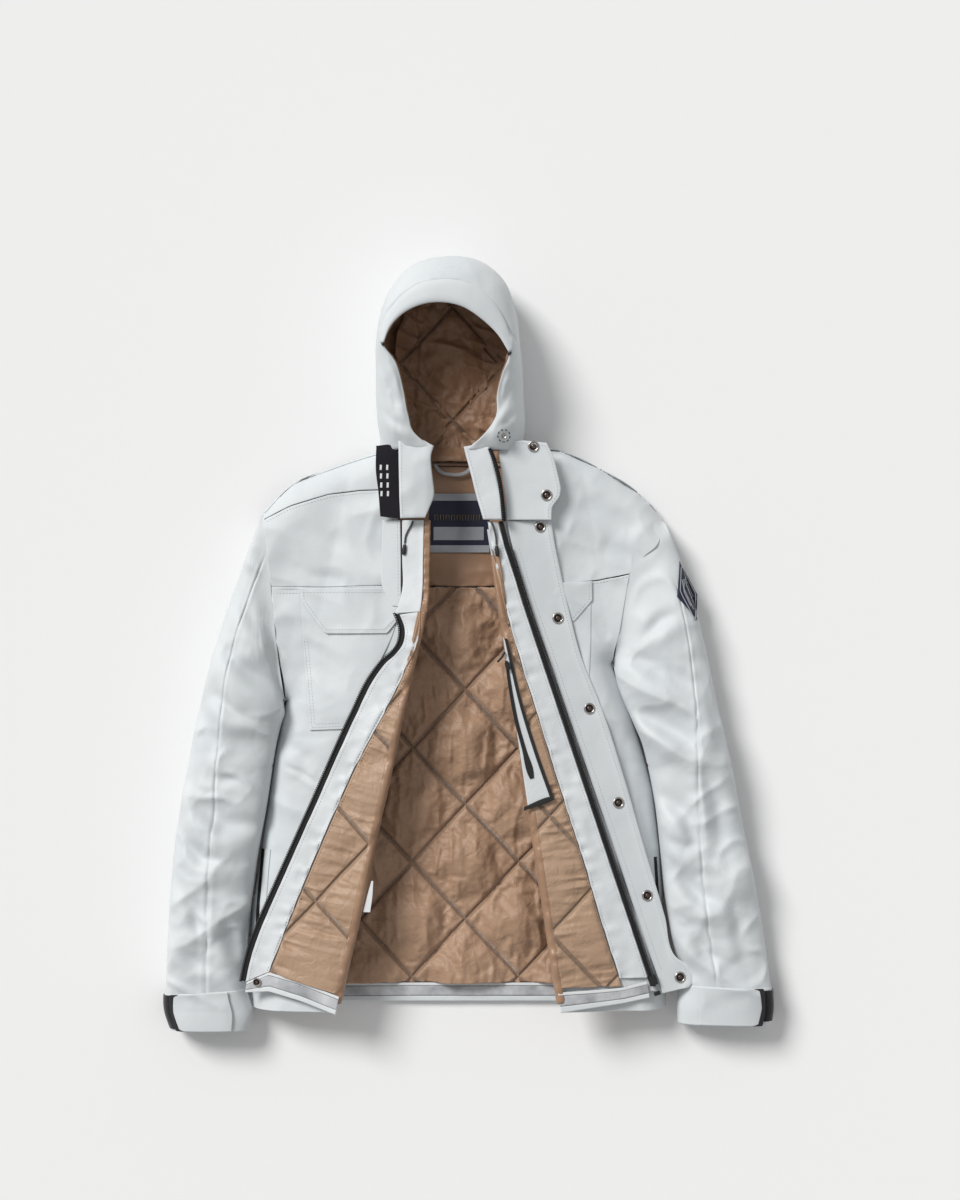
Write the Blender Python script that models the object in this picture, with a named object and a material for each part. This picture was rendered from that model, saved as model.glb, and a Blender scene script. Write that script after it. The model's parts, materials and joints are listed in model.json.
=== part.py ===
"""Hooded ski jacket lying on its back with both fronts folded open.

Frame: +Z up from the surface it lies on, +Y from hem to hood, +X towards the
wearer's left sleeve.  Every panel is laid out on the cutting pattern: pattern
coordinates (u, v) run u across the jacket and v from the hood down to the hem,
and one pattern unit is UNIT metres.  Layers are stacked on the plane of each
front, so that each sewn layer lies on the one below it with a small gap.
"""
import math

import bpy
import bmesh
from mathutils import Vector

# ---------------------------------------------------------------- dimensions
UNIT = 0.00132            # metres in one pattern unit
CENTRE_U, CENTRE_V = 468.58, 645.28   # pattern point at the frame's origin
CREASE_Z = 0.072          # height of the front shell's top face at its fold
SLOPE = 0.16              # fall of each front away from its fold
SIDE_ROLL = 30.0          # pattern units over which a side rolls to the floor
SHELL_T = 0.003           # shell fabric with its backing
PAD_T = 0.006             # quilted lining with its wadding
# heights of the layers above the plane of the front shell
POCKET_Z, POCKET_T = 0.0015, 0.0012
POCKET_FLAP_Z, POCKET_FLAP_T = 0.0033, 0.0012
STORM_Z, STORM_T = 0.0054, 0.0020
LAPEL_TOP = 0.0124        # inside face of a folded front
ZIP_TOP, ZIP_T = 0.0102, 0.0020
AXIS_Z = 0.0059           # fold axis above the plane
SNAP_R = 0.0078
RIGHT_FOLD = ((430.0, 600.0), (343.0, 1000.0))   # wearer's right front
LEFT_FOLD = ((495.0, 590.0), (555.0, 1000.0))    # wearer's left front

for old in list(bpy.data.objects):
    bpy.data.objects.remove(old)

# ----------------------------------------------------------------- materials
COLOURS = {
    "shell": ((0.78, 0.81, 0.83), 0.62, 0.0),
    "lining": ((0.46, 0.31, 0.21), 0.38, 0.0),
    "zip_black": ((0.02, 0.02, 0.022), 0.45, 0.0),
    "snap_metal": ((0.42, 0.40, 0.38), 0.28, 1.0),
    "reflective": ((0.55, 0.56, 0.58), 0.40, 0.0),
    "label_navy": ((0.03, 0.03, 0.08), 0.60, 0.0),
    "loop_black": ((0.015, 0.014, 0.018), 0.90, 0.0),
    "cord_grey": ((0.10, 0.11, 0.12), 0.60, 0.0),
}
materials = {}
for key, (rgb, rough, metal) in COLOURS.items():
    mat = bpy.data.materials.new(key)
    mat.use_nodes = True
    bsdf = mat.node_tree.nodes["Principled BSDF"]
    bsdf.inputs["Base Color"].default_value = (*rgb, 1)
    bsdf.inputs["Roughness"].default_value = rough
    bsdf.inputs["Metallic"].default_value = metal
    materials[key] = mat


# ------------------------------------------------------------------- helpers
def X(u):
    return (u - CENTRE_U) * UNIT


def Y(v):
    return (CENTRE_V - v) * UNIT


def lerp(a, b, t):
    return tuple(p + (q - p) * t for p, q in zip(a, b))


def along(points, t):
    """Point at share t of a polyline's length."""
    steps = [math.dist(points[i], points[i + 1]) for i in range(len(points) - 1)]
    want = t * sum(steps)
    for i, s in enumerate(steps):
        if want <= s or i == len(steps) - 1:
            return lerp(points[i], points[i + 1], min(1.0, want / max(s, 1e-9)))
        want -= s


def to_line(p, pts):
    """Distance from p to a polyline."""
    best = 1e9
    for a, b in zip(pts, pts[1:]):
        dx, dy = b[0] - a[0], b[1] - a[1]
        t = ((p[0] - a[0]) * dx + (p[1] - a[1]) * dy) / (dx * dx + dy * dy)
        t = max(0.0, min(1.0, t))
        best = min(best, math.hypot(p[0] - a[0] - t * dx, p[1] - a[1] - t * dy))
    return best


def fold_distance(side, u, v):
    """Distance outwards from a front's fold line, in pattern units."""
    (u0, v0), (u1, v1) = RIGHT_FOLD if side == "right" else LEFT_FOLD
    length = math.hypot(u1 - u0, v1 - v0)
    d = ((u - u0) * (v1 - v0) - (v - v0) * (u1 - u0)) / length
    return -d if side == "right" else d


def plane(side, u, v):
    return CREASE_Z - SLOPE * fold_distance(side, u, v) * UNIT


EDGES = {
    "right": [
        [(372, 452), (330, 466), (290, 483), (262, 510)],
        [(284, 702), (274, 745), (266, 800), (257, 860), (250, 900), (247, 950), (250, 1012)],
    ],
    "left": [
        [(562, 450), (600, 467), (640, 492), (665, 518)],
        [(614, 664), (632, 711), (647, 760), (655, 790), (661, 840), (665, 900), (667, 950), (669, 1012)],
    ],
}


def front(side, u, v):
    """Top face of a front shell: the plane, rolled down at shoulder and side."""
    d = fold_distance(side, u, v)
    most = 105.0 + 60.0 * max(0.0, min(1.0, (v - 720.0) / 80.0))
    top = CREASE_Z - SLOPE * min(d, most) * UNIT
    q = min(1.0, min(to_line((u, v), e) for e in EDGES[side]) / SIDE_ROLL)
    return 0.0075 + (top - 0.0075) * (1 - (1 - q) ** 2.4) ** (1 / 2.4)


bodies = {}


def body(name, pivot=None, parent=None):
    """An empty on a joint's axis.  Pieces of that body hang from it."""
    empty = bpy.data.objects.new("axis_" + name, None)
    bpy.context.scene.collection.objects.link(empty)
    if pivot:
        empty.location = pivot
    bpy.context.view_layer.update()
    if parent:
        empty.parent = bodies[parent]
        empty.matrix_parent_inverse = bodies[parent].matrix_world.inverted()
    bodies[name] = empty


def place(obj, owner, mat):
    bpy.context.scene.collection.objects.link(obj)
    obj.data.materials.append(materials[mat])
    bpy.context.view_layer.update()
    obj.parent = bodies[owner]
    obj.matrix_parent_inverse = bodies[owner].matrix_world.inverted()
    return obj


def surface(name, grid, owner, mat, thick, closed=False, up=True, offset=-1.0):
    """A sheet of fabric from rows of 3-D points, thickened below its face."""
    bm = bmesh.new()
    rows = [[bm.verts.new(p) for p in row] for row in grid]
    for a, b in zip(rows, rows[1:]):
        n = len(a)
        for i in range(n if closed else n - 1):
            j = (i + 1) % n
            quad = (a[i], b[i], b[j], a[j])
            bm.faces.new(quad if up else quad[::-1])
    bmesh.ops.remove_doubles(bm, verts=bm.verts, dist=1e-6)
    bmesh.ops.dissolve_degenerate(bm, edges=bm.edges, dist=1e-6)
    mesh = bpy.data.meshes.new(name)
    bm.to_mesh(mesh)
    bm.free()
    mesh.shade_smooth()
    obj = place(bpy.data.objects.new(name, mesh), owner, mat)
    thicken = obj.modifiers.new("thickness", "SOLIDIFY")
    thicken.thickness = thick
    thicken.offset = offset
    thicken.use_even_offset = False
    return obj


def spaced(n, ease=None):
    return ease if ease else [i / n for i in range(n + 1)]


def panel(name, rows, z, owner, mat, thick, across=4, ease=None):
    """A sheet cut on the pattern: each row is a run of (u, v) points from one
    edge to the other, and z(u, v) gives the height of its top face."""
    grid = []
    for row in rows:
        line = []
        for t in spaced(across, ease):
            u, v = along(row, t)
            line.append((X(u), Y(v), z(u, v)))
        grid.append(line)
    return surface(name, grid, owner, mat, thick)


def strip(name, left, right, count, z, owner, mat, thick, across=1):
    """A sheet between two long edges, each given as a polyline of (u, v)."""
    rows = [[along(left, i / count), along(right, i / count)] for i in range(count + 1)]
    return panel(name, rows, z, owner, mat, thick, across)


def turned(name, profile, centre, normal, owner, mat, sides=16):
    """A closed turned solid from (radius, height) points, first to last, whose
    first and last points lie on its axis."""
    bm = bmesh.new()
    turn = Vector((0, 0, 1)).rotation_difference(Vector(normal).normalized())
    rings = []
    for r, h in profile:
        if r < 1e-7:
            rings.append([bm.verts.new(Vector(centre) + turn @ Vector((0, 0, h)))])
        else:
            rings.append([
                bm.verts.new(Vector(centre) + turn @ Vector(
                    (r * math.cos(2 * math.pi * k / sides), r * math.sin(2 * math.pi * k / sides), h)))
                for k in range(sides)])
    for a, b in zip(rings, rings[1:]):
        for k in range(sides):
            m = (k + 1) % sides
            if len(a) == 1:
                bm.faces.new((a[0], b[k], b[m]))
            elif len(b) == 1:
                bm.faces.new((a[k], b[0], a[m]))
            else:
                bm.faces.new((a[k], b[k], b[m], a[m]))
    bmesh.ops.recalc_face_normals(bm, faces=bm.faces)
    mesh = bpy.data.meshes.new(name)
    bm.to_mesh(mesh)
    bm.free()
    mesh.shade_smooth()
    mesh.set_sharp_from_angle(angle=math.radians(40))
    return place(bpy.data.objects.new(name, mesh), owner, mat)


def prism(name, outline, axes, origin, depth, owner, mat):
    """An outline of (a, b) points in the plane of two axes, extruded by depth
    along their cross product."""
    a_axis, b_axis = (Vector(q).normalized() for q in axes)
    n_axis = a_axis.cross(b_axis).normalized()
    bm = bmesh.new()
    low = [bm.verts.new(Vector(origin) + a_axis * a + b_axis * b) for a, b in outline]
    face = bm.faces.new(low)
    made = bmesh.ops.extrude_face_region(bm, geom=[face])
    bmesh.ops.translate(bm, vec=n_axis * depth,
                        verts=[g for g in made["geom"] if isinstance(g, bmesh.types.BMVert)])
    bmesh.ops.recalc_face_normals(bm, faces=bm.faces)
    mesh = bpy.data.meshes.new(name)
    bm.to_mesh(mesh)
    bm.free()
    return place(bpy.data.objects.new(name, mesh), owner, mat)


def slope_normal(side):
    """Unit normal of a front's plane."""
    e = 1.0
    dz_dx = (plane(side, 500 + e, 700) - plane(side, 500 - e, 700)) / (2 * e * UNIT)
    dz_dy = (plane(side, 500, 700 - e) - plane(side, 500, 700 + e)) / (2 * e * UNIT)
    return Vector((-dz_dx, -dz_dy, 1.0)).normalized()


# ---------------------------------------------------- bodies and their axes
def axis_point(side, share):
    a, b = RIGHT_FOLD if side == "right" else LEFT_FOLD
    u, v = lerp(a, b, share)
    return (X(u), Y(v), CREASE_Z + AXIS_Z)


SHOULDER_R, SHOULDER_L = (266.0, 560.0), (656.0, 566.0)
ELBOW_R, ELBOW_L = (228.0, 766.0), (690.0, 766.0)
ELBOW_Z = 0.079
ZIP_LEFT = [(503, 522), (510, 548), (518.5, 574), (529.1, 608), (545.2, 656), (560.3, 701), (584.8, 774), (609.6, 848), (632.1, 915), (653.2, 978)]
ZIP_DIR = Vector((X(529.1) - X(653.2), Y(608) - Y(978), 0)).normalized()

body("torso")
body("hood", (0, Y(447), 0.075), "torso")
body("right_front", axis_point("right", 0.5), "torso")
body("left_front", axis_point("left", 0.5), "torso")
body("storm_flap", (X(584.8), Y(774), plane("left", 584.8, 774) + 0.0082), "left_front")
body("right_upper_sleeve", (X(SHOULDER_R[0]), Y(SHOULDER_R[1]), 0.03), "torso")
body("left_upper_sleeve", (X(SHOULDER_L[0]), Y(SHOULDER_L[1]), 0.03), "torso")
body("right_forearm", (X(ELBOW_R[0]), Y(ELBOW_R[1]), ELBOW_Z), "right_upper_sleeve")
body("left_forearm", (X(ELBOW_L[0]), Y(ELBOW_L[1]), ELBOW_Z), "left_upper_sleeve")
body("right_cuff_tab", (X(229), Y(1015), 0.0525), "right_forearm")
body("left_cuff_tab", (X(707.5), Y(1010), 0.0525), "left_forearm")
body("right_chest_flap", (X(379), Y(588), front("right", 379, 588) + 0.0036), "torso")
body("hanger_loop", (X(452), Y(466), 0.0135), "torso")
body("zip_slider", (X(650.6), Y(979.5), plane("left", 650.6, 979.5) + 0.0092), "left_front")
body("inner_pocket_slider", (X(507), Y(668), plane("left", 507, 668) + 0.017), "left_front")

# ------------------------------------------------------------------- torso
panel("back_shell", [
    [(392, 462), (450, 464), (545, 462)],
    [(330, 476), (450, 474), (602, 477)],
    [(290, 493), (450, 488), (640, 501)],
    [(271, 520), (450, 520), (656, 526)],
    [(276, 586), (626, 586)],
    [(286, 650), (618, 660)],
    [(292, 702), (622, 690)],
    [(280, 760), (640, 750)],
    [(270, 830), (652, 820)],
    [(258, 905), (659, 900)],
    [(254, 1006), (662, 1006)],
], lambda u, v: 0.003, "torso", "shell", 0.003, across=6)

panel("back_lining", [
    [(405, 467), (450, 467), (545, 467)],
    [(330, 496), (450, 492), (600, 496)],
    [(298, 520), (450, 520), (634, 526)],
    [(300, 586), (604, 586)],
    [(306, 650), (596, 660)],
    [(310, 702), (600, 690)],
    [(300, 760), (618, 750)],
    [(288, 830), (632, 820)],
    [(278, 905), (640, 900)],
    [(274, 987), (644, 987)],
], lambda u, v: 0.0114, "torso", "lining", 0.008, across=6)

panel("back_hem_tape", [
    [(274, 988), (644, 988)],
    [(274, 1004), (644, 1004)],
], lambda u, v: 0.0094, "torso", "reflective", 0.006, across=4)

EASE_R = [0, 0.025, 0.07, 0.13, 0.22, 0.36, 0.55, 0.78, 1.0]
panel("right_front_shell", [
    [(263, 512), (290, 484.5), (330, 468), (372, 454.5), (386, 451)],
    [(264, 520), (292, 493), (331, 476), (372, 463), (392, 460)],
    [(266, 534), (296, 508), (332, 492), (372, 480), (397, 478)],
    [(268, 552), (300, 534), (334, 522), (372, 514), (398, 512)],
    [(271, 590), (400, 590)],
    [(276, 640), (413, 640)],
    [(284, 700), (400, 700)],
    [(274, 745), (391, 745)],
    [(266, 800), (379, 800)],
    [(257, 860), (366, 860)],
    [(250, 905), (356, 905)],
    [(247, 955), (345, 955)],
    [(250, 1010), (333, 1010)],
], lambda u, v: front("right", u, v), "torso", "shell", SHELL_T, across=8, ease=EASE_R)

EASE_L = [0, 0.22, 0.45, 0.64, 0.78, 0.87, 0.93, 0.975, 1.0]
panel("left_front_shell", [
    [(508, 446), (562, 452), (600, 468.5), (640, 493), (664, 519)],
    [(508, 455), (562, 461), (599, 477), (637, 501), (662, 528)],
    [(506, 472), (560, 478), (598, 493), (633, 515), (659, 542)],
    [(505, 505), (560, 512), (598, 522), (632, 538), (650, 560)],
    [(499, 590), (628, 590)],
    [(505, 625), (620, 630)],
    [(510, 662), (614, 664)],
    [(516, 711), (631, 711)],
    [(523, 760), (646, 760)],
    [(529, 800), (656, 800)],
    [(538, 860), (662, 860)],
    [(544, 905), (665, 905)],
    [(552, 955), (667, 955)],
    [(561, 1010), (669, 1010)],
], lambda u, v: front("left", u, v), "torso", "shell", SHELL_T, across=8, ease=EASE_L)

# collars, the right one with its loop-tape patch, the left one with the end
# of the storm flap and the top of the zip
panel("right_collar", [
    [(401, 441), (417, 440), (434, 449)],
    [(401, 470), (435, 480)],
    [(401, 500), (433, 497)],
    [(402, 519), (428, 518)],
], lambda u, v: 0.090 - 0.00004 * abs(v - 480), "torso", "shell", 0.005, across=4)
panel("collar_patch", [
    [(377, 447), (398.5, 448)],
    [(377, 472), (399, 472)],
    [(379.5, 492), (399, 492)],
    [(381, 517), (398, 519)],
], lambda u, v: max(front("right", u, v) + 0.009, 0.074), "torso", "loop_black", 0.002, across=2)
panel("right_placket", [
    [(383.5, 521), (400.5, 521)],
    [(382, 560), (401, 560)],
    [(382, 588), (401, 588)],
    [(392, 605), (402, 606)],
], lambda u, v: front("right", u, v) + 0.0050, "torso", "shell", 0.0025, across=2)
panel("right_neck_facing", [
    [(402.3, 521), (431, 521)],
    [(402.3, 560), (430, 560)],
    [(403, 600), (428.5, 600)],
], lambda u, v: plane("right", u, v) + 0.0050, "torso", "shell", 0.0035, across=2)

panel("left_collar", [
    [(465, 453), (488, 449)],
    [(473, 472), (494, 472)],
    [(480, 497), (498, 497)],
    [(487, 520), (500.5, 520)],
], lambda u, v: 0.0885, "torso", "shell", 0.005, across=2)
panel("collar_flap", [
    [(500, 444.5), (523, 442), (546, 444.5)],
    [(501, 462), (554, 462)],
    [(504, 488), (560, 488)],
    [(505, 497), (559.5, 497)],
    [(506.4, 508), (550, 508)],
    [(507.5, 519.5), (551, 519.5)],
], lambda u, v: max(front("left", u, v), 0.066) + 0.0085, "torso", "shell", 0.003, across=3)

# labels and loop at the back of the neck
panel("neck_label", [
    [(428, 493), (487, 493)],
    [(428, 551), (487, 551)],
], lambda u, v: 0.0127, "torso", "label_navy", 0.0010, across=1)

# hanger loop: a flat band that leaves the neck seam, runs across and returns
loop_outer = [(434, 467.6), (438, 476), (445, 481), (459, 481), (466, 476), (470, 467.6)]
loop_inner = [(437.6, 467.6), (440.5, 474), (446.5, 477.4), (457.5, 477.4), (463.5, 474), (466.4, 467.6)]
strip("hanger_loop", loop_inner, loop_outer, 9, lambda u, v: 0.0150, "hanger_loop", "reflective", 0.0025)

# chest pockets, each swollen a little away from the folded front
def swell(u):
    return 0.0016 * max(0.0, min(1.0, (378.0 - u) / 30.0))


panel("right_chest_pocket", [
    [(301, 592), (398, 592)],
    [(302, 620), (398, 620)],
    [(305, 670), (392, 670)],
    [(310, 730), (380, 728)],
], lambda u, v: front("right", u, v) + POCKET_Z + swell(u), "torso", "shell", POCKET_T, across=3)
panel("right_chest_flap", [
    [(300, 588.5), (379, 588.5)],
    [(301, 600), (386, 600)],
    [(309, 612), (390, 618)],
    [(325, 633), (385, 632)],
], lambda u, v: front("right", u, v) + POCKET_FLAP_Z + 1.6 * swell(u), "right_chest_flap", "shell", POCKET_FLAP_T, across=3)
panel("left_chest_pocket", [
    [(530, 588), (592, 586)],
    [(528, 640), (591, 640)],
    [(524, 690), (588, 690)],
], lambda u, v: front("left", u, v) + POCKET_Z, "torso", "shell", POCKET_T, across=3)

# hand-pocket zips on the sides of the body
strip("right_hand_pocket_zip", [(260.5, 862), (256, 900), (254, 955)], [(264.5, 862), (260, 900), (258, 955)], 8,
      lambda u, v: front("right", u, v) + 0.0034, "torso", "zip_black", 0.0016)
strip("left_hand_pocket_zip", [(653.5, 862), (656, 900), (658.5, 945)], [(657.5, 862), (660, 900), (662.5, 945)], 8,
      lambda u, v: front("left", u, v) + 0.0034, "torso", "zip_black", 0.0016)

# ---------------------------------------------------------- right front
def on_right(extra):
    return lambda u, v: plane("right", u, v) + extra


def fold_u(side, v, out=0.0):
    """u of the point out units outwards of a fold, at ordinate v."""
    (u0, v0), (u1, v1) = RIGHT_FOLD if side == "right" else LEFT_FOLD
    u = u0 + (u1 - u0) * (v - v0) / (v1 - v0)
    return u - out if side == "right" else u + out


ZIP_RIGHT = [(395, 613), (400, 628), (397.5, 644), (381, 661), (369.5, 676.5), (352, 711.5), (310, 804.8), (271.5, 890.9), (255, 929), (246, 956), (241, 979)]
FACE_RIGHT = [(421, 609), (418.5, 638), (408.4, 661), (394.3, 692), (373, 731), (357.8, 760), (332, 816.8), (297.5, 898), (270, 968)]


def shifted(points, du, dv=0.0):
    return [(u + du, v + dv) for u, v in points]


strip("right_zip_tape", ZIP_RIGHT, shifted(ZIP_RIGHT, 6.0, 1.5), 13, on_right(ZIP_TOP), "right_front", "zip_black", ZIP_T)
strip("right_facing", shifted(ZIP_RIGHT, 6.6, 2.0), shifted(FACE_RIGHT, 0.0, 2.0), 13, on_right(0.0119), "right_front", "shell", 0.005, across=2)
strip("right_front_lining", shifted(FACE_RIGHT, 0.9, 2.6),
      [(fold_u("right", v, 1.2), v) for v in (611, 700, 800, 900, 990)], 13, on_right(LAPEL_TOP), "right_front", "lining", PAD_T, across=3)
panel("right_hem_tape", [
    [(247.5, 981.5), (270, 971.8), (302, 980), (fold_u("right", 994, 1.2), 994)],
    [(246, 989), (270, 988), (302, 997), (fold_u("right", 1010, 1.2), 1010)],
], on_right(0.0119), "right_front", "reflective", 0.005, across=5)

# ----------------------------------------------------------- left front
def on_left(extra):
    return lambda u, v: plane("left", u, v) + extra


FACE_LEFT = [(491.5, 548), (494, 560), (506, 610), (523.3, 670), (540.5, 723.6), (556, 775), (583, 858.6), (600.7, 919), (622, 985)]


def at_v(points, v):
    """u where a polyline that runs down the pattern crosses ordinate v."""
    for (u0, v0), (u1, v1) in zip(points, points[1:]):
        if v <= v1 or (u1, v1) == points[-1]:
            return u0 + (u1 - u0) * (v - v0) / (v1 - v0)


FRONT_ROWS = [522, 534, 548, 560, 574, 608, 640, 670, 701, 738, 775, 815, 858, 915, 976]
panel("left_zip_tape", [[(at_v(ZIP_LEFT, v) - 6.0, v), (at_v(ZIP_LEFT, v), v)] for v in [*FRONT_ROWS, 986]],
      on_left(ZIP_TOP), "left_front", "zip_black", ZIP_T, across=1)
FACE_TOP = [(487.6, 522), (490.8, 548), *FACE_LEFT[1:]]
panel("left_facing", [[(at_v(FACE_TOP, v), v + 4 * (v == 976)), (at_v(ZIP_LEFT, v) - 6.6, v)] for v in FRONT_ROWS],
      on_left(0.0119), "left_front", "shell", 0.005, across=2)
panel("left_front_lining", [[(fold_u("left", v, 1.2), v + 8 * (v == 976)), (at_v(FACE_TOP, v) - 0.9, v + 6 * (v == 976))] for v in FRONT_ROWS[3:]],
      on_left(LAPEL_TOP), "left_front", "lining", PAD_T, across=3)
panel("left_hem_tape", [
    [(fold_u("left", 990.5, 1.2), 990.5), (600, 990.5), (622, 988.8), (646, 983.0)],
    [(fold_u("left", 1009, 1.2), 1009), (600, 1003), (649, 996)],
], on_left(0.0119), "left_front", "reflective", 0.005, across=4)

# inside pocket: a welded panel, its black edging and its zip
strip("inner_pocket_panel", [(fold_u("left", v, 2.2), v) for v in (640, 700, 750, 804)],
      [(505.2, 640), (520, 704), (535.5, 754), (549.5, 797)], 7, on_left(0.0141), "left_front", "shell", 0.0013, across=1)
strip("inner_pocket_edging", [(505.9, 638), (520.8, 704), (536.2, 753.5), (550.2, 796)],
      [(508.6, 638), (523.6, 703), (539, 752.5), (553.2, 796)], 7, on_left(0.0143), "left_front", "zip_black", 0.0015)
strip("inner_pocket_zip", [(505.8, 662), (513, 706), (521, 744), (528, 776)], [(508, 662), (517, 706), (526.4, 744), (534, 775)], 6,
      on_left(0.0157), "left_front", "zip_black", 0.0012)

# ------------------------------------------------------------- storm flap
FLAP_OUT = [(551, 521.5), (557.8, 560), (568, 606.5), (575, 641), (592, 680.5), (602.5, 711.5), (620, 763), (640, 833.6), (654, 880), (665, 916), (677.5, 960)]
panel("storm_flap", [
    [(507.4, 521.5), (551, 521.5)],
    [(513.5, 548), (555.6, 548)],
    [(521, 574), (561, 574)],
    [(531.6, 608), (568.2, 607)],
    [(548.6, 656), (581, 656)],
    [(564, 701), (599, 701)],
    [(589.6, 774), (623, 774)],
    [(615.0, 848), (644.6, 848)],
    [(637.6, 916), (665, 916)],
    [(651.4, 957), (676.5, 957)],
    [(655.4, 969), (689, 966.6)],
    [(659.8, 982), (692.7, 981)],
    [(663, 992), (693.4, 985)],
], on_left(STORM_Z), "storm_flap", "shell", STORM_T, across=2)

SNAPS = [(533, 447.5), (546, 496), (540, 527), (557.5, 618), (589, 708), (618, 802), (647, 895), (680, 977)]
RING = [(0, 0), (SNAP_R, 0), (SNAP_R, 0.0008), (SNAP_R * 0.80, 0.0018), (SNAP_R * 0.45, 0.0018), (SNAP_R * 0.32, 0.0008), (0, 0.0008)]
for i, (u, v) in enumerate(SNAPS):
    if i < 2:
        top = max(front("left", u, v), 0.066) + 0.0085
        tops = [max(front("left", u + du, v + dv), 0.066) + 0.0085 for du, dv in ((6, 0), (-6, 0), (0, 6), (0, -6))]
        normal = Vector((-(tops[0] - tops[1]) / (12 * UNIT), (tops[2] - tops[3]) / (12 * UNIT), 1)).normalized()
        top = max([top] + tops)
        owner = "torso"
    else:
        top, normal, owner = plane("left", u, v) + STORM_Z, slope_normal("left"), "storm_flap"
    turned(f"flap_snap_{i + 1}", RING, Vector((X(u), Y(v), top)) + normal * 0.0004, normal, owner, "snap_metal", sides=14)
turned("hem_snap", [(0, 0), (0.0056, 0), (0.0056, 0.0009), (0.0044, 0.0016), (0.0022, 0.0016), (0.0016, 0.0009), (0, 0.0009)],
       Vector((X(258), Y(980), plane("right", 258, 980) + 0.0119)) + slope_normal("right") * 0.0005,
       slope_normal("right"), "right_front", "snap_metal", sides=14)

# ---------------------------------------------------- zip slider and pulls
def frame_at(side, u, v, extra, run):
    n = slope_normal(side)
    run = Vector(run)
    run = (run - n * run.dot(n)).normalized()
    return Vector((X(u), Y(v), plane(side, u, v) + extra)), run, run.cross(n).normalized(), n


mid, run, out, nrm = frame_at("left", 650.6, 979.5, 0.0092, ZIP_DIR)
# two plates joined by a post beyond the teeth; the chain runs between them
half = 0.0018
prism("zip_slider", [
    (-0.0030, -half - 0.0013), (0.0072, -half - 0.0013), (0.0072, half + 0.0014), (-0.0030, half + 0.0014),
    (-0.0030, half), (0.0048, half), (0.0048, -half), (-0.0030, -half)],
    (out, nrm), mid + run * 0.0065, 0.0130, "zip_slider", "zip_black")
stop, run_s, out_s, nrm_s = frame_at("left", 656.8, 991.2, 0.0082, ZIP_DIR)
prism("zip_stop_box", [(-0.0050, -0.0032), (0.0032, -0.0032), (0.0032, 0.0018), (-0.0050, 0.0018)],
      (out_s, run_s), stop, 0.0036, "left_front", "zip_black")

mid, run, out, nrm = frame_at("left", 507.9, 669, 0.0163, Vector((X(531) - X(507), Y(776) - Y(664), 0)))
prism("inner_pocket_slider", [(-0.0030, 0), (0.0030, 0), (0.0030, 0.0030), (0.0012, 0.0042), (-0.0012, 0.0042), (-0.0030, 0.0030)],
      (out, nrm), mid, 0.010, "inner_pocket_slider", "zip_black")

# ---------------------------------------------------------------- sleeves
def tube(rings):
    """Returns point(s, angle, grow) on a tube: s counts rings, angle 0 is the
    outer side, 90 the top, 180 the inner side and 270 the side it lies on."""
    def point(s, angle, grow=0.0):
        i = min(int(s), len(rings) - 2)
        t = s - i
        (o0, i0, zb0, zt0), (o1, i1, zb1, zt1) = rings[i], rings[i + 1]
        o, inn = lerp(o0, o1, t), lerp(i0, i1, t)
        zb, zt = zb0 + (zb1 - zb0) * t - grow, zt0 + (zt1 - zt0) * t + grow
        centre = lerp(o, inn, 0.5)
        half_w = math.dist(o, inn) / 2
        du, dv = (o[0] - centre[0]) / half_w, (o[1] - centre[1]) / half_w
        half_w += grow / UNIT
        c, s_ = math.cos(math.radians(angle)), math.sin(math.radians(angle))
        across = math.copysign(abs(c) ** 0.85, c) * half_w
        z = (zb + zt) / 2 + math.copysign(abs(s_) ** 0.85, s_) * (zt - zb) / 2
        return (X(centre[0] + du * across), Y(centre[1] + dv * across), z)
    return point


def sleeve(name, point, count, owner, per=1, sides=14, thick=0.0035, left=False):
    grid = [[point(k / per, 360 * a / sides) for a in range(sides)] for k in range((count - 1) * per + 1)]
    return surface(name, grid, owner, "shell", thick, closed=True, up=not left)


def patch(name, point, rows, across, lift, thick, owner, mat, left=False):
    grid = [[point(s, a0 + (a1 - a0) * i / across, lift + thick) for i in range(across + 1)] for s, a0, a1 in rows]
    return surface(name, grid, owner, mat, thick, up=not left)


UPPER_R = [
    ((249, 547), (280, 696), 0.002, 0.060), ((238, 577), (279, 707), 0.001, 0.067),
    ((226, 612), (278, 714), 0.0006, 0.071), ((214, 650), (275, 723), 0.0006, 0.074), ((203, 690), (272, 734), 0.0006, 0.075),
    ((193, 735), (269, 748), 0.0006, 0.075), ((187.5, 765), (266, 765), 0.0006, 0.075)]
LOWER_R = [
    ((187.2, 767), (265.6, 767), 0.0006, 0.075), ((181, 800), (261, 800), 0.0006, 0.073), ((173, 850), (252, 850), 0.0006, 0.070),
    ((169, 900), (243, 900), 0.0006, 0.066), ((166, 950), (236, 945), 0.0006, 0.060), ((164, 985), (232, 981), 0.0006, 0.056),
    ((163, 996), (240, 993), 0.0006, 0.054), ((164, 1015), (248, 1015), 0.0006, 0.052), ((170, 1033), (246, 1033), 0.0006, 0.050)]
UPPER_L = [
    ((680, 556), (618.5, 668), 0.002, 0.060), ((690, 588), (622, 684), 0.001, 0.067),
    ((700, 622), (628, 696), 0.0006, 0.071), ((709, 660), (634, 710), 0.0006, 0.074), ((717, 700), (641, 726), 0.0006, 0.075),
    ((726, 738), (649, 745), 0.0006, 0.075), ((732, 765), (654, 765), 0.0006, 0.075)]
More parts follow.
